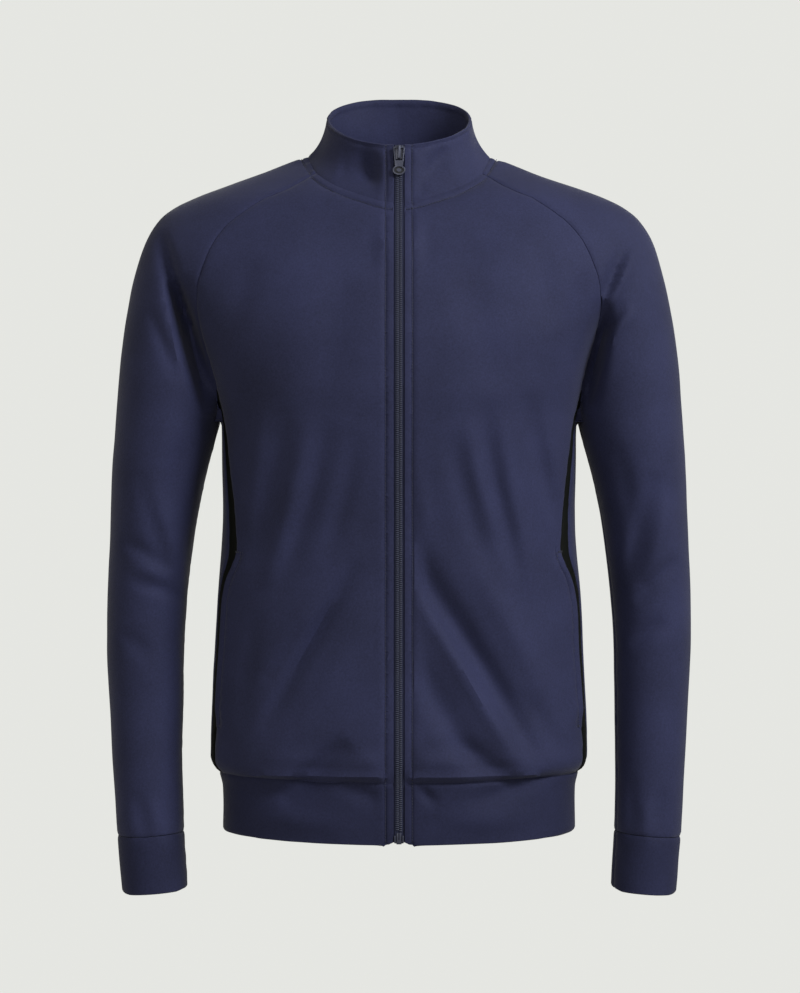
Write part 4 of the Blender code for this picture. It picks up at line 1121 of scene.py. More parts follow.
def mottled(material, colour):
    """Makes the colour a little lighter and darker, in soft patches and in fine flecks."""
    tree = material.node_tree
    place = tree.nodes.new("ShaderNodeTexCoord")
    found = []
    for scale, detail in PATCHES:
        patches = tree.nodes.new("ShaderNodeTexNoise")
        patches.inputs["Scale"].default_value = scale
        patches.inputs["Detail"].default_value = detail
        tree.links.new(place.outputs["Object"], patches.inputs["Vector"])
        found.append(patches.outputs["Fac"])
    flecks = worked_out(tree, "MULTIPLY", found[1], 0.5)
    level = worked_out(tree, "MULTIPLY_ADD", found[0], 0.5, flecks)
    ramp = tree.nodes.new("ShaderNodeValToRGB")
    for element, place, shade in zip(ramp.color_ramp.elements, PATCH_RANGE, PATCH_SHADES):
        element.position = place
        element.color = (*(c * shade for c in colour), 1)
    tree.links.new(level, ramp.inputs["Fac"])
    shader = tree.nodes["Principled BSDF"]
    tree.links.new(ramp.outputs["Color"], shader.inputs["Base Color"])


def knitted(material):
    """Adds the fine V-shaped stitches of a knit as relief."""
    tree = material.node_tree
    cloth = tree.nodes.new("ShaderNodeUVMap")
    cloth.uv_map = "cloth"
    split = tree.nodes.new("ShaderNodeSeparateXYZ")
    tree.links.new(cloth.outputs["UV"], split.inputs[0])
    across = worked_out(tree, "MULTIPLY", split.outputs["X"], 1 / WALE)
    up = worked_out(tree, "MULTIPLY", split.outputs["Y"], 1 / COURSE)
    from_middle = worked_out(tree, "PINGPONG", across, 0.5)
    leaning = worked_out(tree, "ADD", up, from_middle)
    leg = worked_out(tree, "PINGPONG", leaning, 0.5)
    groove = worked_out(tree, "PINGPONG", from_middle, 0.25)
    relief_height = worked_out(tree, "MULTIPLY", leg, groove)
    bump = tree.nodes.new("ShaderNodeBump")
    bump.inputs["Distance"].default_value = KNIT_RELIEF
    bump.inputs["Strength"].default_value = 1.0
    tree.links.new(relief_height, bump.inputs["Height"])
    tree.links.new(bump.outputs["Normal"], tree.nodes["Principled BSDF"].inputs["Normal"])


@functools.lru_cache(maxsize=None)
def cloth_material(name, colour_name, share, sheen, gloss):
    """Knit in a share of one of the colours, with its fuzz and its gloss."""
    colours = bpy.context.scene.jacket_colours
    colour = [c * share for c in getattr(colours, colour_name)]
    settings = {
        "Sheen Weight": sheen,
        "Sheen Roughness": KNIT_SHEEN_ROUGHNESS,
        "Specular IOR Level": gloss,
    }
    material = plain_material(name, colour, ROUGHNESS["knit"], **settings)
    mottled(material, colour)
    knitted(material)
    return material


# Material slot and material of each kind of cloth.
CLOTHS = {
    "knit": ("knit", lambda: cloth_material("navy_knit", "navy", 1, 0.1, 0.22)),
    # The hem band and cuffs are the same navy knit at 0.78 of its colour: painted shade for their
    # low place, which gets less light.
    "band": ("band_knit", lambda: cloth_material("band_knit", "navy", 0.78, 0.08, 0.18)),
    "side": ("side_knit", lambda: cloth_material("side_knit", "side", 1, 0.0, 0.08)),
    "tape": ("tape", lambda: cloth_material("zip_tape", "tape", 1, 0.05, 0.2)),
}


# ---------------------------------------------------------------- fronts, sides and back


def pocket_line(inset):
    """Flat line on the front a distance in from the pocket's loose edge."""
    heights, _, _, start, _ = side_edges()
    z = np.linspace(POCKET_LOW, POCKET_TOP, STITCH_LINE_POINTS["pocket"])
    return np.stack([np.interp(z, heights, start) - inset, z], 1)


def zip_stitch_line():
    """Flat line of the topstitching beside the zip."""
    z = np.linspace(HEM_SEAM_Z - HEM_DIP, NECK_FRONT[0][1], STITCH_LINE_POINTS["zip"])
    return np.array([[measure(ZIP_EDGE, h, "front") + ZIP_STITCH, h] for h in z])


def past_neck(neck_flat):
    """Flat line a stitch's distance down from the neckline, carried past its ends."""
    order = neck_flat[np.argsort(neck_flat[:, 0])]
    return offset_line(order, -NECK_STITCH)


def tip_edge():
    """Points on the short slanted seam from the side panel's front edge to its tip."""
    start, end = side_edges()[1][-1], armhole("front")[RAGLAN_POINTS - 1]
    return start + (end - start) * np.linspace(0, 1, TIP_POINTS)[1:-1, None]


def open_at_pocket(edge):
    """The two sewn parts of a flat side seam, below and above the pocket mouth."""
    height = edge[:, 1]
    return [(edge[height < POCKET_LOW], SEAM), (edge[height > POCKET_TOP], SEAM)]


def front_panel(side, word):
    """A front, its side edge loose along the pocket mouth."""
    heights, front_edge, _, start, _ = side_edges()
    hem = band_ring(0)[:HEM_FRONT]
    raglan = armhole("front")[:RAGLAN_POINTS][::-1]
    neck = front_neck()[::-1]
    edge_z = np.linspace(neck[-1][2], hem[0][2], ZIP_EDGE_POINTS)
    zip_edge = on_surface(np.full(ZIP_EDGE_POINTS, ZIP_EDGE), edge_z, "front")
    parts = [hem, front_edge[1:], tip_edge(), raglan, neck[1:], zip_edge[1:-1]]
    outline = np.concatenate(parts)
    flat = flat_of(outline, "front")
    neck_line = past_neck(flat_of(neck, "front"))
    stitch_lines = [zip_stitch_line(), pocket_line(POCKET_STITCH), neck_line]
    points, triangles, laid = cut_panel(flat, outline, on_front, stitch_lines)
    triangles = turned_out(points, triangles, 1, -1)
    at_edge = SIDE_AT["stand_off"](laid[:, 1])
    inset = np.interp(laid[:, 1], heights, start) - laid[:, 0]
    stand_off = at_edge * smooth_step(1 - inset / POCKET_EASE)
    from_zip = smooth_step((laid[:, 0] - ZIP_EDGE) / ZIP_STIFFNESS)
    stand_off += from_zip * bloused(points, laid, flat[:HEM_FRONT])
    points = pushed_out(points, triangles, stand_off)
    at_raglan = HEM_FRONT + SIDE_POINTS + TIP_POINTS - 3
    at_neck = at_raglan + RAGLAN_POINTS - 1
    lines = [
        (flat[:HEM_FRONT], HEM_SEAM),
        *open_at_pocket(flat[HEM_FRONT - 1 : at_raglan + 2]),
        (flat[at_raglan : at_neck + 1], SEAM),
        (flat[at_neck : at_neck + NECK_POINTS["front"]], COLLAR_SEAM),
        *zip(stitch_lines, (TOPSTITCH, POCKET_TOPSTITCH, NECK_TOPSTITCH)),
    ]
    return sew(f"front_{word}", side, points, triangles, laid, lines, WALL, "knit")


def side_panel(side, word):
    """The narrow panel between a front and the back."""
    heights, front_edge, back_edge, start, end = side_edges()
    armhole_edge = armhole("front")[RAGLAN_POINTS - 1 : RAGLAN_POINTS + TIP_POINTS - 2][::-1]
    tip = tip_edge()[::-1]
    hem = band_ring(0)[HEM_FRONT - 1 : HEM_FRONT + HEM_SIDE + 1]
    outline = np.concatenate([hem, back_edge[1:], armhole_edge, tip, front_edge[:0:-1]])
    across = np.linspace(start[0], end[0], len(hem))
    hem_flat = np.stack([across, np.full(len(hem), HEM_SEAM_Z)], 1)
    front_flat, back_flat = (np.stack([edge, heights], 1) for edge in (start, end))
    upper = [flat_of(edge, "front") for edge in (armhole_edge, tip)]
    flat = np.concatenate([hem_flat, back_flat[1:], *upper, front_flat[:0:-1]])
    points, triangles, laid = cut_panel(flat, outline, on_front, [])
    triangles = turned_out(points, triangles, 0, 1)
    lines = [(hem_flat, HEM_SEAM), (back_flat, SEAM), *open_at_pocket(front_flat)]
    return sew(f"side_panel_{word}", side, points, triangles, laid, lines, WALL, "side")


def back_panel():
    """The back, in one piece round to both side panels."""
    heights, _, back_edge, _, _ = side_edges()
    hem = band_ring(0)[HEM_FRONT + HEM_SIDE :][::-1]
    side_flat = [
        [measure(p[0], z, "back", other_side=p[1] < 0), z]
        for p, z in zip(back_edge[:-1], heights[:-1])
    ]
    at_side = measure(BODY_AT["side"](UNDERARM_Z), UNDERARM_Z, "back")
    under = armhole("front")[RAGLAN_POINTS + TIP_POINTS - 2 :]
    under_flat = [[at_side + abs(y), z] for _, y, z in under]
    raglan = armhole("back")[:-1][::-1]
    neck = back_neck()
    half = np.concatenate([hem[:-1], back_edge[:-1], under, raglan, neck[1:]])
    hem_flat = np.stack([lengths_along(hem)[:-1], np.full(len(hem) - 1, HEM_SEAM_Z)], 1)
    neck_flat = flat_of(neck, "back")
    upper = [under_flat, flat_of(raglan, "back"), neck_flat[1:]]
    half_flat = np.concatenate([hem_flat, side_flat, *upper])
    outline, flat = mirrored(half, closed=True), mirrored(half_flat, closed=True)
    stitch_line = past_neck(mirrored(neck_flat))
    points, triangles, laid = cut_panel(flat, outline, on_back, [stitch_line])
    triangles = turned_out(points, triangles, 1, 1)
    whole_hem = np.concatenate([hem_flat[::-1] * [-1, 1], hem_flat])
    points = pushed_out(points, triangles, bloused(points, laid, whole_hem))
    lines = [
        (flat[len(hem_flat) - 1 : -len(hem_flat) + 1], SEAM),
        (whole_hem, HEM_SEAM),
        (stitch_line, NECK_TOPSTITCH),
    ]
    return sew("back", 1, points, triangles, laid, lines, WALL, "knit")


# ---------------------------------------------------------------- sleeves and cuffs


def eased(start, end):
    """Values from a start to an end, closer together at both."""
    return start + (end - start) * (1 - np.cos(np.linspace(0, math.pi, RING_STEPS))) / 2


def half_row(path):
    """The points of half a row, closer together next to its seam."""
    near = min(1.0, lengths_along(path)[-1] / FULL_MARKS_FROM)
    return spread(path, CAP_COLUMNS, np.array(EDGE_MARKS) * near)


def joined_row(front, back):
    """A whole row from a front half and a back half that end at the same point."""
    return np.concatenate([front, back[-2::-1]])


def shoulder_line(share):
    """Point on the outline from neck to upper arm, as x and z."""
    z = np.linspace(NECK_FRONT[-1][1], ring_ends(RING_TOP)[1][1], LINE_STEPS)
    line = np.stack([SLEEVE_AT["outer"](z), z], 1)
    return at_lengths(line, share * lengths_along(line)[-1])


def cap_rows():
    """Rows of the sleeve's cap, from the neck to the underarm."""
    length = (lengths_along(armhole("front")) + lengths_along(armhole("back"))) / 2
    rows = [joined_row(shoulder_neck("front"), shoulder_neck("back"))]
    for row in range(1, len(length)):
        outer_x, outer_z = shoulder_line(length[row] / length[-1])
        halves = []
        for face in ("front", "back"):
            x, _, z = armhole(face)[row]
            halves.append(half_row(on_surface(eased(x, outer_x), eased(z, outer_z), face)))
        rows.append(joined_row(*halves))
    return rows


def arm_surface(x, z, face):
    """Points of the sleeve alone, below the underarm."""
    y = SLEEVE_AT["line"](z) + FACE_SIGN[face] * arm_depth(x, z, face)
    return np.stack([x, y, z], -1)


def turned(first, second, turn):
    """Both halves of a ring, with the point where they start moved along the first."""
    length = lengths_along(first)
    start = at_lengths(first, [turn])
    if turn > 0:
        second = np.concatenate([start, first[length < turn][::-1], second])
    return np.concatenate([start, first[length > turn]]), second


def sleeve_ring(z, side):
    """A ring of the sleeve from the under seam by the front round to the under seam."""
    inner, outer = ring_ends(z)
    x, height = (eased(start, end) for start, end in zip(inner, outer))
    front, back = (arm_surface(x, height, face) for face in ("front", "back"))
    start = UNDERARM_Z - SEAM_TURN_BELOW
    turn = SEAM_TURN[side] * smooth_step((start - z) / SEAM_TURN_OVER)
    if turn >= 0:
        front, back = turned(front, back, turn)
    else:
        back, front = turned(back, front, -turn)
    return joined_row(half_row(front), half_row(back))


def laid_rows(rows, anchor):
    """Rows of points laid flat: across from an anchor column, and down along it."""
    rows = np.array(rows)
    steps = np.linalg.norm(np.diff(rows, axis=1), axis=2)
    across = np.concatenate([np.zeros((len(rows), 1)), np.cumsum(steps, 1)], 1)
    across -= across[:, anchor : anchor + 1]
    down = np.broadcast_to(lengths_along(rows[:, anchor])[:, None], across.shape)
    return np.stack([across, -down], -1)


def arm_piece(name, side, rows, more_lines, end, thickness, cloth):
    """A sleeve or a cuff from its rows, sunk at its under seam and at one of its ends."""
    laid = laid_rows(rows, CAP_COLUMNS - 1)
    points = np.concatenate(rows)
    triangles = grid_triangles(points, 2 * CAP_COLUMNS - 1)[:, ::-1]
    lines = [(edge, SEAM) for edge in (laid[:, 0], laid[:, -1], laid[end])] + more_lines
    return sew(name, side, points, triangles, laid.reshape(-1, 2), lines, thickness, cloth)


def sleeve(side, word):
    """A sleeve in one piece, from the neck over the shoulder to the cuff."""
    heights = np.linspace(RING_TOP, CUFF_SEAM_Z, SLEEVE_ROWS)[1:]
    heights[-3:-1] = CUFF_SEAM_Z + np.array(INSET_ROWS[::-1])
    rows = cap_rows() + [sleeve_ring(z, side) for z in heights]
    neck = laid_rows(rows[:1], CAP_COLUMNS - 1)[0]
    below_neck = np.array([[end, -NECK_STITCH] for end in (-NECK_STITCH_END, NECK_STITCH_END)])
    lines = [(neck, COLLAR_SEAM), (below_neck, NECK_TOPSTITCH)]
    return arm_piece(f"sleeve_{word}", side, rows, lines, -1, WALL, "knit")


def cuff(side, word):
    """A doubled cuff, its lower corners rounded."""
    heights = np.linspace(CUFF_SEAM_Z, CUFF_Z, CUFF_ROWS)
    heights[1:3] = CUFF_SEAM_Z - np.array(INSET_ROWS)
    heights[-4:-1] = CUFF_Z + np.array(EDGE_ROWS)
    rows = []
    for z in heights:
        (inner, _), (outer, _) = ring_ends(z)
        middle, half = (inner + outer) / 2, (outer - inner) / 2
        rows.append(drawn_in(sleeve_ring(z, side), z - CUFF_Z, middle, half))
    return arm_piece(f"cuff_{word}", side, rows, [], 0, DOUBLE_WALL, "band")


# ---------------------------------------------------------------- hem band and collar


def folded_band(name, halves, tuck, tuck_seam, up, edge_stitch, cloth):
    """A doubled band from half rows, its first row tucked up or down into the seam."""
    first = halves[0] - tuck * unit(halves[1] - halves[0])
    rows = [mirrored(half) for half in (first, *halves[1:])]
    laid = laid_rows(rows, len(first) - 1) * [1, -up]
    points = np.concatenate(rows)
    triangles = grid_triangles(points, len(rows[0]))[:, ::up]
    lines = [
        (laid[0], tuck_seam),
        (laid[:, 0] + [ZIP_STITCH, 0], TOPSTITCH),
        (laid[:, -1] - [ZIP_STITCH, 0], TOPSTITCH),
    ]
    if edge_stitch:
        lines.append((laid[-1] - [0, edge_stitch], COLLAR_EDGE_STITCH))
    return sew(name, 1, points, triangles, laid.reshape(-1, 2), lines, DOUBLE_WALL, cloth)


def hem_band():
    """The band at the hem, from one side of the zip round to the other."""
    halves = [band_ring(share) for share in BAND_SHARES]
    return folded_band("hem_band", halves, HEM_TUCK, HEM_TUCK_SEAM, -1, 0, "band")


def collar():
    """The stand-up collar, from its seam to its upper edge."""
    rows = collar_rows()
    return folded_band("collar", rows, COLLAR_TUCK, COLLAR_TUCK_SEAM, 1, COLLAR_STITCH, "knit")


# ---------------------------------------------------------------- zip


def across_row(row, x):
    """The point of a row of the front at one distance from the middle."""
    near = row[: int(np.argmax(row[:, 0]))]
    return [np.interp(x, near[:, 0], near[:, i]) for i in range(3)]


def zip_rows(x):
    """Points of the outer cloth at one distance from the middle, from collar to hem."""
    edge = max(x, ZIP_EDGE)
    collar_part = [across_row(row, edge) for row in collar_rows()[::-1]]
    middle_part = [on_surface(edge, z, "front") for z in ZIP_HEIGHTS]
    band_part = [across_row(band_ring(share), edge) for share in BAND_SHARES]
    found = np.array(collar_part + middle_part + band_part)
    found[:, 0] = x
    return found


def zip_tape(side, word):
    """Half of the zip's woven tape, behind the edge of a front."""
    rows = np.stack([zip_rows(x) for x in TAPE_COLUMNS], 1)
    points = rows.reshape(-1, 3)
    triangles = turned_out(points, grid_triangles(points, len(TAPE_COLUMNS)), 1, -1)
    doubled = (points[:, 2] > TAPE_COLLAR_END) | (points[:, 2] < TAPE_BAND_START)
    sink = TAPE_GAP + np.where(doubled, DOUBLE_WALL, WALL)
    covered = smooth_step((points[:, 0] - TAPE_BARE) / TAPE_STEP)
    sink = TAPE_RISE + (sink - TAPE_RISE) * covered
    points = pushed_out(points, triangles, -sink)
    laid = laid_rows(rows, 0).reshape(-1, 2)
    return sew(f"zip_tape_{word}", side, points, triangles, laid, [], TAPE_THICK, "tape")


def sunk_line(sink, heights):
    """Depth of the zip's middle line, sunk behind the outer cloth, at each height."""
    line = zip_rows(0.0)[:, 1:]
    run = unit(np.gradient(line, axis=0))
    sunk = line + sink * np.stack([-run[:, 1], run[:, 0]], 1)
    return np.interp(-heights, -sunk[:, 1], sunk[:, 0])


def bead(name, size, segments, rings):
    """A small ball of cloth thread or coil, half as long as each number of its size."""
    deselect()
    bpy.ops.mesh.primitive_uv_sphere_add(segments=segments, ring_count=rings, radius=1)
    ball = bpy.context.active_object
    ball.name = name
    points = np.array([v.co for v in ball.data.vertices]) * size
    faces = [list(face.vertices) for face in ball.data.polygons]
    bpy.data.objects.remove(ball, do_unlink=True)
    return points, faces


def scattered(name, template, places, material):
    """One mesh of copies of a template, each at a place of origin and three axes."""
    points, faces = template
    every, cells = [], []
    for origin, axes in places:
        shift = len(every) * len(points)
        every.append(origin + points @ axes)
        cells += [[i + shift for i in face] for face in faces]
    return add_mesh(name, np.concatenate(every), cells, material)


def zip_coil():
    """The closed coil: two rows of teeth that mesh along the middle."""
    colours = bpy.context.scene.jacket_colours
    material = plain_material("zip_coil", colours.coil, ROUGHNESS["coil"])
    reach = np.array(TOOTH_REACH)
    tooth = bead("tooth", ((reach[1] - reach[0]) / 2, TOOTH_HIGH, TOOTH_WIDE), 8, 5)
    half = TOOTH_PITCH / 2
    heights = np.arange(CHAIN_TOP - half, CHAIN_END + half, -half)
    x = np.where(np.arange(len(heights)) % 2, 1, -1) * reach.mean()
    origins = np.stack([x, sunk_line(TOOTH_SINK, heights), heights], 1)
    made = scattered("zip_coil", tooth, [(origin, np.eye(3)) for origin in origins], material)
    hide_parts("zip_chain")
    return made


# ---------------------------------------------------------------- slider, pull and ends


def deselect():
    """Nothing is selected afterwards."""
    for thing in bpy.context.selected_objects:
        thing.select_set(False)


def slider_frame():
    """Place and lean of the slider: its top on the collar's edge, its length down the zip."""
    top = collar_rows()[-1][0]
    rows = zip_rows(ZIP_EDGE)
    low = [np.interp(-PULL_REST_Z, -rows[:, 2], rows[:, i]) for i in range(3)]
    lean = math.atan2(low[1] - top[1], top[2] - low[2])
    place = Matrix.Translation(Vector((0, top[1], top[2])) * METRE)
    return place @ Matrix.Rotation(lean, 4, "X")


def block(name, x, out, down, bevel=0.0):
    """A block between two values of x, of distance outwards and of distance down."""
    deselect()
    low = Vector((x[0], -out[1], -down[1])) * METRE
    high = Vector((x[1], -out[0], -down[0])) * METRE
    bpy.ops.mesh.primitive_cube_add(size=1, location=(low + high) / 2, scale=high - low)
    made = bpy.context.active_object
    made.name = name
    bpy.ops.object.transform_apply(location=True, rotation=True, scale=True)
    if bevel:
        soften(made, bevel)
    return made


def disc(name, half_width, half_height, out, down, bevel=0.0):
    """An oval disc between two distances outwards, centred a distance down."""
    deselect()
    bpy.ops.mesh.primitive_cylinder_add(
        vertices=40, radius=1, depth=1, location=(0, 0, 0), rotation=(math.pi / 2, 0, 0)
    )
    made = bpy.context.active_object
    made.name = name
    bpy.ops.object.transform_apply(location=False, rotation=True, scale=False)
    made.scale = Vector((half_width, out[1] - out[0], half_height)) * METRE
    made.location = Vector((0, -(out[0] + out[1]) / 2, -down)) * METRE
    bpy.ops.object.transform_apply(location=True, rotation=True, scale=True)
    if bevel:
        soften(made, bevel)
    return made


def soften(thing, width):
    """Rounds all sharp edges."""
    bpy.context.view_layer.objects.active = thing
    bevel = thing.modifiers.new("rounded_edges", "BEVEL")
    bevel.width = width * METRE
    bevel.segments = 3
    bevel.limit_method = "ANGLE"
    bpy.ops.object.modifier_apply(modifier=bevel.name)


def combine(thing, other, operation):
    """Joins another piece to one or cuts it out, and takes the other away."""
    bpy.context.view_layer.objects.active = thing
    boolean = thing.modifiers.new("joined", "BOOLEAN")
    boolean.operation = operation
    boolean.solver = "EXACT"
    boolean.object = other
    bpy.ops.object.modifier_apply(modifier=boolean.name)
    bpy.data.objects.remove(other, do_unlink=True)


def put_on(thing, node, place, body=BODY_NAME):
    """Sets a finished metal piece in its place, instead of a node."""
    thing.data.transform(place)
    thing.data.materials.clear()
    thing.data.materials.append(painted_metal())
    deselect()
    thing.select_set(True)
    bpy.context.view_layer.objects.active = thing
    bpy.ops.object.shade_smooth_by_angle(angle=EDGE_ANGLE)
    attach(thing, body)
    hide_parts(node)
    return thing


@functools.lru_cache(maxsize=None)
def painted_metal():
    """The finish that slider, pull, stops and box share."""
    colours = bpy.context.scene.jacket_colours
    look = {"Metallic": METAL_SHARE}
    return plain_material("painted_metal", colours.metal, ROUGHNESS["metal"], **look)


def slider():
    """A plate round the coil and a hollow bridge on it, for the pull."""
    plate = block("slider", (-4.3, 4.3), (-0.5, 1.3), (1.0, 15.2), 0.75)
    bridge = block("bridge", (-1.5, 1.5), (0.9, 4.9), (1.3, 14.6), 0.8)
    hole = block("hole", (-2.5, 2.5), (1.2, 3.9), (2.0, 13.0), 0.3)
    combine(bridge, hole, "DIFFERENCE")
    combine(plate, bridge, "UNION")
    return put_on(plate, "zip_slider", slider_frame())


def tapered(thing, top, low, share):
    """Draws a piece's width in by a share from one height down to another."""
    for vertex in thing.data.vertices:
        down = (top - vertex.co.z / METRE) / (top - low)
        vertex.co.x *= 1 - share * smooth_step(down)
    return thing


def pull():
    """A frame of two arms round a window, and an oval end with a sunk middle."""
    near, far = PULL_OUT
    head = tapered(block("pull", (-5.8, 5.8), PULL_OUT, (2.6, 23.0), 0.3), -2.6, -23.0, 0.34)
    eye = disc("eye", 6.3, 5.0, (near + 0.02, far - 0.02), PULL_EYE_DOWN, 0.35)
    window = tapered(block("window", (-4.5, 4.5), (0, 5), (4.0, 16.4), 0.5), -4, -16.4, 0.24)
    recess = disc("recess", 4.9, 3.6, (2.1, 5), PULL_EYE_DOWN)
    boss = disc("boss", 2.4, 1.7, (2.0, 2.8), PULL_EYE_DOWN)
    combine(head, eye, "UNION")
    combine(head, window, "DIFFERENCE")
    combine(head, recess, "DIFFERENCE")
    combine(head, boss, "UNION")
    # a near-black disc on the recess floor paints the shade that falls there
    inlay = disc("pull_inlay", 4.6, 3.3, (2.0, 2.25), PULL_EYE_DOWN)
    inlay.data.transform(slider_frame())
    inlay.data.materials.append(plain_material("pull_inlay", RECESS_SHADE_COLOUR, ROUGHNESS["inlay"]))
    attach(inlay, "pull_tab")
    return put_on(head, "zip_pull", slider_frame(), "pull_tab")


def zip_ends():
    """The two stops below the collar's edge, and the box with its two pins at the hem."""
    for side, word in SIDES:
        x = sorted((side * 0.35, side * 2.7))
        stop = block(f"stop_{word}", x, (-3.2, -0.8), (0.4, 2.9), 0.5)
        put_on(stop, f"zip_stop_{word}", slider_frame())
    box = block("box", (-2.5, 2.5), (-2.7, 0.1), (664.0, 675.2), 0.6)
    combine(box, block("slot", (-0.45, 0.45), (-1.2, 2), (660, 671)), "DIFFERENCE")
    combine(box, block("plate", (-4.4, 4.4), (-2.6, -1.1), (665.0, 674.4), 0.4), "UNION")
    for side in (-1, 1):
        x = sorted((side * 3.1, side * 4.7))
        combine(box, block("pin", x, (-2.4, 0.9), (666.6, 673.8), 0.6), "UNION")
    foot = float(sunk_line(0, np.array([BOX_MIDDLE_Z]))[0])
    put_on(box, "zip_box", Matrix.Translation((0, foot * METRE, 0)))


# ---------------------------------------------------------------- stitching


def cloth_tree():
    """Faces of all the cloth, to set stitches on."""
    points, faces = [], []
    for name in CUT:
        mesh = bpy.data.objects[name].data
        shift = len(points)
        points += [v.co / METRE for v in mesh.vertices]
        faces += [[i + shift for i in face.vertices] for face in mesh.polygons]
    return BVHTree.FromPolygons(points, faces)


def stitch_places(tree, line, pitch):
    """Origin and axes of each stitch along a line near the cloth."""
    total = lengths_along(line)[-1]
    found = at_lengths(line, np.arange(pitch / 2, total, pitch))
    along = unit(np.gradient(found, axis=0)) if len(found) > 1 else unit(line[-1:] - line[:1])
    places = []
    for point, run in zip(found, along):
        place, normal, _, _ = tree.find_nearest(Vector(point))
        side = Vector(run).cross(normal).normalized()
        run = normal.cross(side)
        places.append((np.array(place - STITCH_SINK * normal), np.array([run, side, normal])))
    return places


def neck_stitch_lines():
    """Half of the line below the collar seam, on the front, the shoulder and the back."""
    front = past_neck(flat_of(front_neck(), "front"))
    shoulder = [at_lengths(np.array(column), [NECK_STITCH])[0] for column in zip(*cap_rows()[:12])]
    points = STITCH_LINE_POINTS["back neck"]
    back = past_neck(flat_of(neckline("back", 0, RAGLAN_AT_NECK["back"], points), "back"))
    return [placed(front, "front"), np.array(shoulder), placed(back, "back")]


def tacks():
    """Lines of the short bars at both ends of the pocket mouth."""
    heights, _, _, start, _ = side_edges()
    found = []
    for z, reach in TACKS:
        edge = np.interp(z, heights, start)
        for drop in TACK_ROWS:
            found.append(placed([(edge + m, z + drop) for m in (-reach, TACK_OVER)], "front"))
    return found


def stitching():
    """All the topstitching, one small bead of thread for each stitch."""
    sizes = bpy.context.scene.jacket_sewing
    colours = bpy.context.scene.jacket_colours
    look = {"Sheen Weight": THREAD_SHEEN}
    thread = plain_material("sewing_thread", colours.thread, ROUGHNESS["thread"], **look)
    width, pitch = sizes.thread_width / METRE, sizes.stitch_pitch / METRE
    half = np.array([sizes.stitch_length / METRE, width, width]) / 2
    seams = [zip_rows(ZIP_EDGE + ZIP_STITCH), placed(pocket_line(POCKET_STITCH), "front")]
    seams += neck_stitch_lines()
    lines = [(line, pitch) for line in seams] + [(line, width * TACK_PITCH) for line in tacks()]
    tree = cloth_tree()
    places = []
    for side, _ in SIDES:
        for line, spacing in lines:
            places += stitch_places(tree, creased(line * [side, 1, 1]), spacing)
    return scattered("stitching", bead("stitch", half, 6, 4), places, thread)


# ---------------------------------------------------------------- stage


def select_far_edge(sweep):
    """Selects only the floor's far edge, ready to be drawn up."""
    bpy.ops.object.mode_set(mode="EDIT")
    bpy.ops.mesh.select_all(action="DESELECT")
    bpy.ops.object.mode_set(mode="OBJECT")
    far = max(v.co.y for v in sweep.data.vertices)
    for edge in sweep.data.edges:
        edge.select = all(sweep.data.vertices[i].co.y > far - 0.01 for i in edge.vertices)
    bpy.ops.object.mode_set(mode="EDIT")
    bpy.ops.mesh.select_mode(type="EDGE")


def backdrop():
    """A pale floor that curves up into a wall behind."""
    deselect()
    bpy.ops.mesh.primitive_plane_add(size=1, location=(0, FLOOR_MIDDLE, FLOOR_Z))
    sweep = bpy.context.active_object
    sweep.name = "backdrop"
    sweep.scale = (*FLOOR_SIZE, 1)
    bpy.ops.object.transform_apply(location=True, rotation=True, scale=True)
    select_far_edge(sweep)
    bpy.ops.mesh.extrude_region_move(TRANSFORM_OT_translate={"value": (0, 0, WALL_HEIGHT)})
    bpy.ops.object.mode_set(mode="OBJECT")
    bend = sweep.modifiers.new("curve", "BEVEL")
    bend.width = WALL_BEND
    bend.segments = WALL_SEGMENTS
    bpy.ops.object.modifier_apply(modifier=bend.name)
    sweep.data.shade_smooth()
    sweep.data.materials.append(plain_material("floor", FLOOR_COLOUR, ROUGHNESS["floor"]))
    glow = {
        "Emission Color": (*WALL_COLOUR, 1),
        "Emission Strength": 1.0,
        "Specular IOR Level": 0.0,
    }
    sweep.data.materials.append(plain_material("wall", (0.02, 0.02, 0.02), 1.0, **glow))
    for face in sweep.data.polygons:
        face.material_index = int(abs(face.normal.z) < 0.98)
    sweep.visible_diffuse = False
    sweep.visible_glossy = False
    return sweep


def stage_lights():
    """Three soft lamps and a dim studio round them."""
    for name, place, (width, height), power, colour in LIGHTS:
        light = bpy.data.lights.new(name, "AREA")
        light.shape = "RECTANGLE"
        light.size, light.size_y = width, height
        light.energy = power
        light.color = colour
        lamp = bpy.data.objects.new(name, light)
        lamp.location = place
        towards = Vector(LIGHTS_AIM) - Vector(place)
        lamp.rotation_euler = towards.to_track_quat("-Z", "Y").to_euler()
        bpy.context.scene.collection.objects.link(lamp)
    world = bpy.data.worlds.new("studio")
    world.use_nodes = True
    background = world.node_tree.nodes["Background"]
    background.inputs["Color"].default_value = (*WORLD_COLOUR, 1)
    background.inputs["Strength"].default_value = WORLD_STRENGTH
    bpy.context.scene.world = world
    bpy.context.scene.view_settings.view_transform = "Standard"


def stage_camera():
    """A camera straight in front, level with the jacket's middle."""
    camera = bpy.data.cameras.new("camera")
    camera.sensor_width = CAMERA_SENSOR
    camera.lens = CAMERA_LENS
    camera.clip_end = CAMERA_REACH
    made = bpy.data.objects.new("camera", camera)
    made.location = CAMERA_PLACE
    made.rotation_euler = (math.pi / 2, 0, 0)
    bpy.context.scene.collection.objects.link(made)
    bpy.context.scene.camera = made


# ---------------------------------------------------------------- operators


def for_both(make):
    """Makes a piece for the left side and for the right."""
    for side, word in SIDES:
        make(side, word)


class JACKET_OT_fronts(bpy.types.Operator):
    """Cut both fronts, with their pocket mouths and creases"""

    bl_idname = "jacket.fronts"
    bl_label = "Fronts"

    def execute(self, context):
        for_both(front_panel)
        return {"FINISHED"}


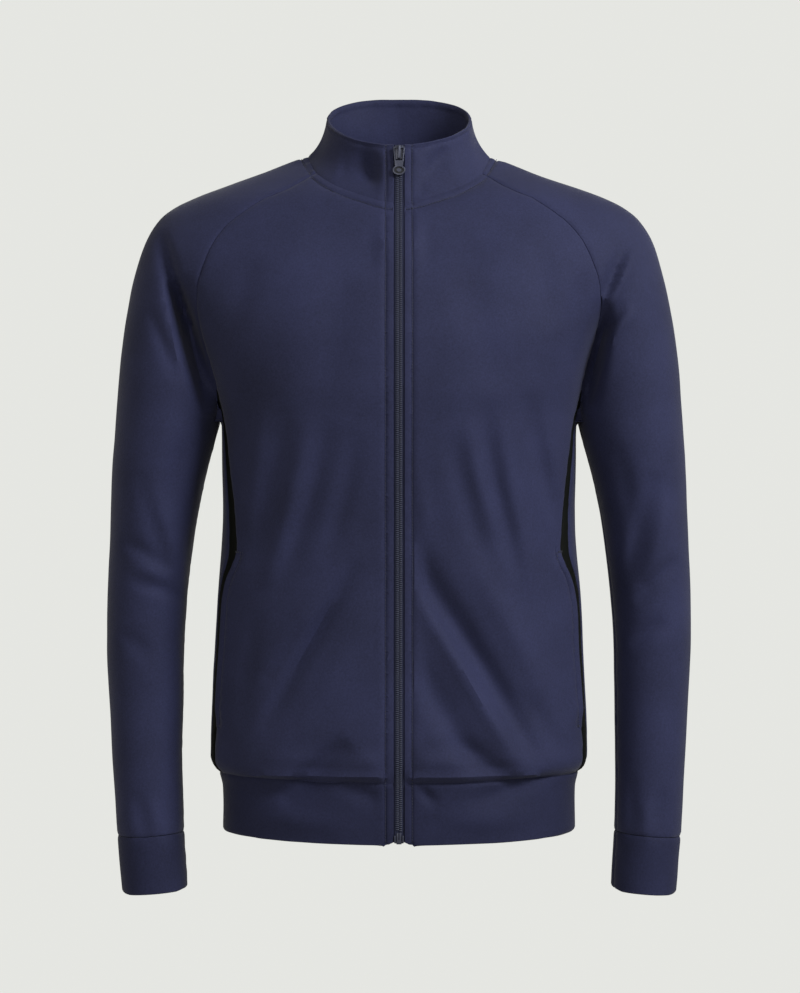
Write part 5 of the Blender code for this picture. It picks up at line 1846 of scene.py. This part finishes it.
class JACKET_OT_back(bpy.types.Operator):
    """Cut the back"""

    bl_idname = "jacket.back"
    bl_label = "Back"

    def execute(self, context):
        back_panel()
        return {"FINISHED"}


class JACKET_OT_side_panels(bpy.types.Operator):
    """Cut the narrow dark panels at both sides"""

    bl_idname = "jacket.side_panels"
    bl_label = "Side panels"

    def execute(self, context):
        for_both(side_panel)
        return {"FINISHED"}


class JACKET_OT_sleeves(bpy.types.Operator):
    """Cut both raglan sleeves"""

    bl_idname = "jacket.sleeves"
    bl_label = "Sleeves"

    def execute(self, context):
        for_both(sleeve)
        return {"FINISHED"}


class JACKET_OT_bands(bpy.types.Operator):
    """Fold the hem band and both cuffs"""

    bl_idname = "jacket.bands"
    bl_label = "Hem band and cuffs"

    def execute(self, context):
        hem_band()
        for_both(cuff)
        return {"FINISHED"}


class JACKET_OT_collar(bpy.types.Operator):
    """Fold the stand-up collar"""

    bl_idname = "jacket.collar"
    bl_label = "Collar"

    def execute(self, context):
        collar()
        return {"FINISHED"}


class JACKET_OT_zip(bpy.types.Operator):
    """Weave the zip's tapes and wind its coil"""

    bl_idname = "jacket.zip"
    bl_label = "Zip tapes and coil"

    def execute(self, context):
        for_both(zip_tape)
        zip_coil()
        return {"FINISHED"}


class JACKET_OT_zip_metal(bpy.types.Operator):
    """Make the slider, its pull, the stops and the box"""

    bl_idname = "jacket.zip_metal"
    bl_label = "Slider, pull and ends"

    def execute(self, context):
        slider()
        pull()
        zip_ends()
        return {"FINISHED"}


class JACKET_OT_stitching(bpy.types.Operator):
    """Sew the topstitching and the bars at the pockets"""

    bl_idname = "jacket.stitching"
    bl_label = "Stitching"

    def execute(self, context):
        stitching()
        return {"FINISHED"}


class JACKET_OT_stage(bpy.types.Operator):
    """Set the backdrop, the lights and the camera"""

    bl_idname = "jacket.stage"
    bl_label = "Stage"

    def execute(self, context):
        backdrop()
        stage_lights()
        stage_camera()
        return {"FINISHED"}


STEPS = (
    JACKET_OT_fronts,
    JACKET_OT_back,
    JACKET_OT_side_panels,
    JACKET_OT_sleeves,
    JACKET_OT_bands,
    JACKET_OT_collar,
    JACKET_OT_zip,
    JACKET_OT_zip_metal,
    JACKET_OT_stitching,
    JACKET_OT_stage,
)


class JACKET_PT_panel(bpy.types.Panel):
    """The jacket's steps, in order, and the values that they use"""

    bl_label = "Track jacket"
    bl_idname = "JACKET_PT_panel"
    bl_space_type = "VIEW_3D"
    bl_region_type = "UI"
    bl_category = "Track jacket"

    def draw(self, context):
        for step in STEPS:
            self.layout.operator(step.bl_idname)
        for group in (context.scene.jacket_sewing, context.scene.jacket_colours):
            for name in group.__annotations__:
                self.layout.prop(group, name)


CLASSES = (JacketSewing, JacketColours, *STEPS, JACKET_PT_panel)


def register():
    noise.seed_set(WAVE_SEED)
    for one in CLASSES:
        bpy.utils.register_class(one)
    bpy.types.Scene.jacket_sewing = PointerProperty(type=JacketSewing)
    bpy.types.Scene.jacket_colours = PointerProperty(type=JacketColours)


def unregister():
    del bpy.types.Scene.jacket_sewing
    del bpy.types.Scene.jacket_colours
    for one in reversed(CLASSES):
        bpy.utils.unregister_class(one)


def main():
    register()
    for step in STEPS:
        group, name = step.bl_idname.split(".")
        getattr(getattr(bpy.ops, group), name)()


if __name__ == "__main__":
    main()
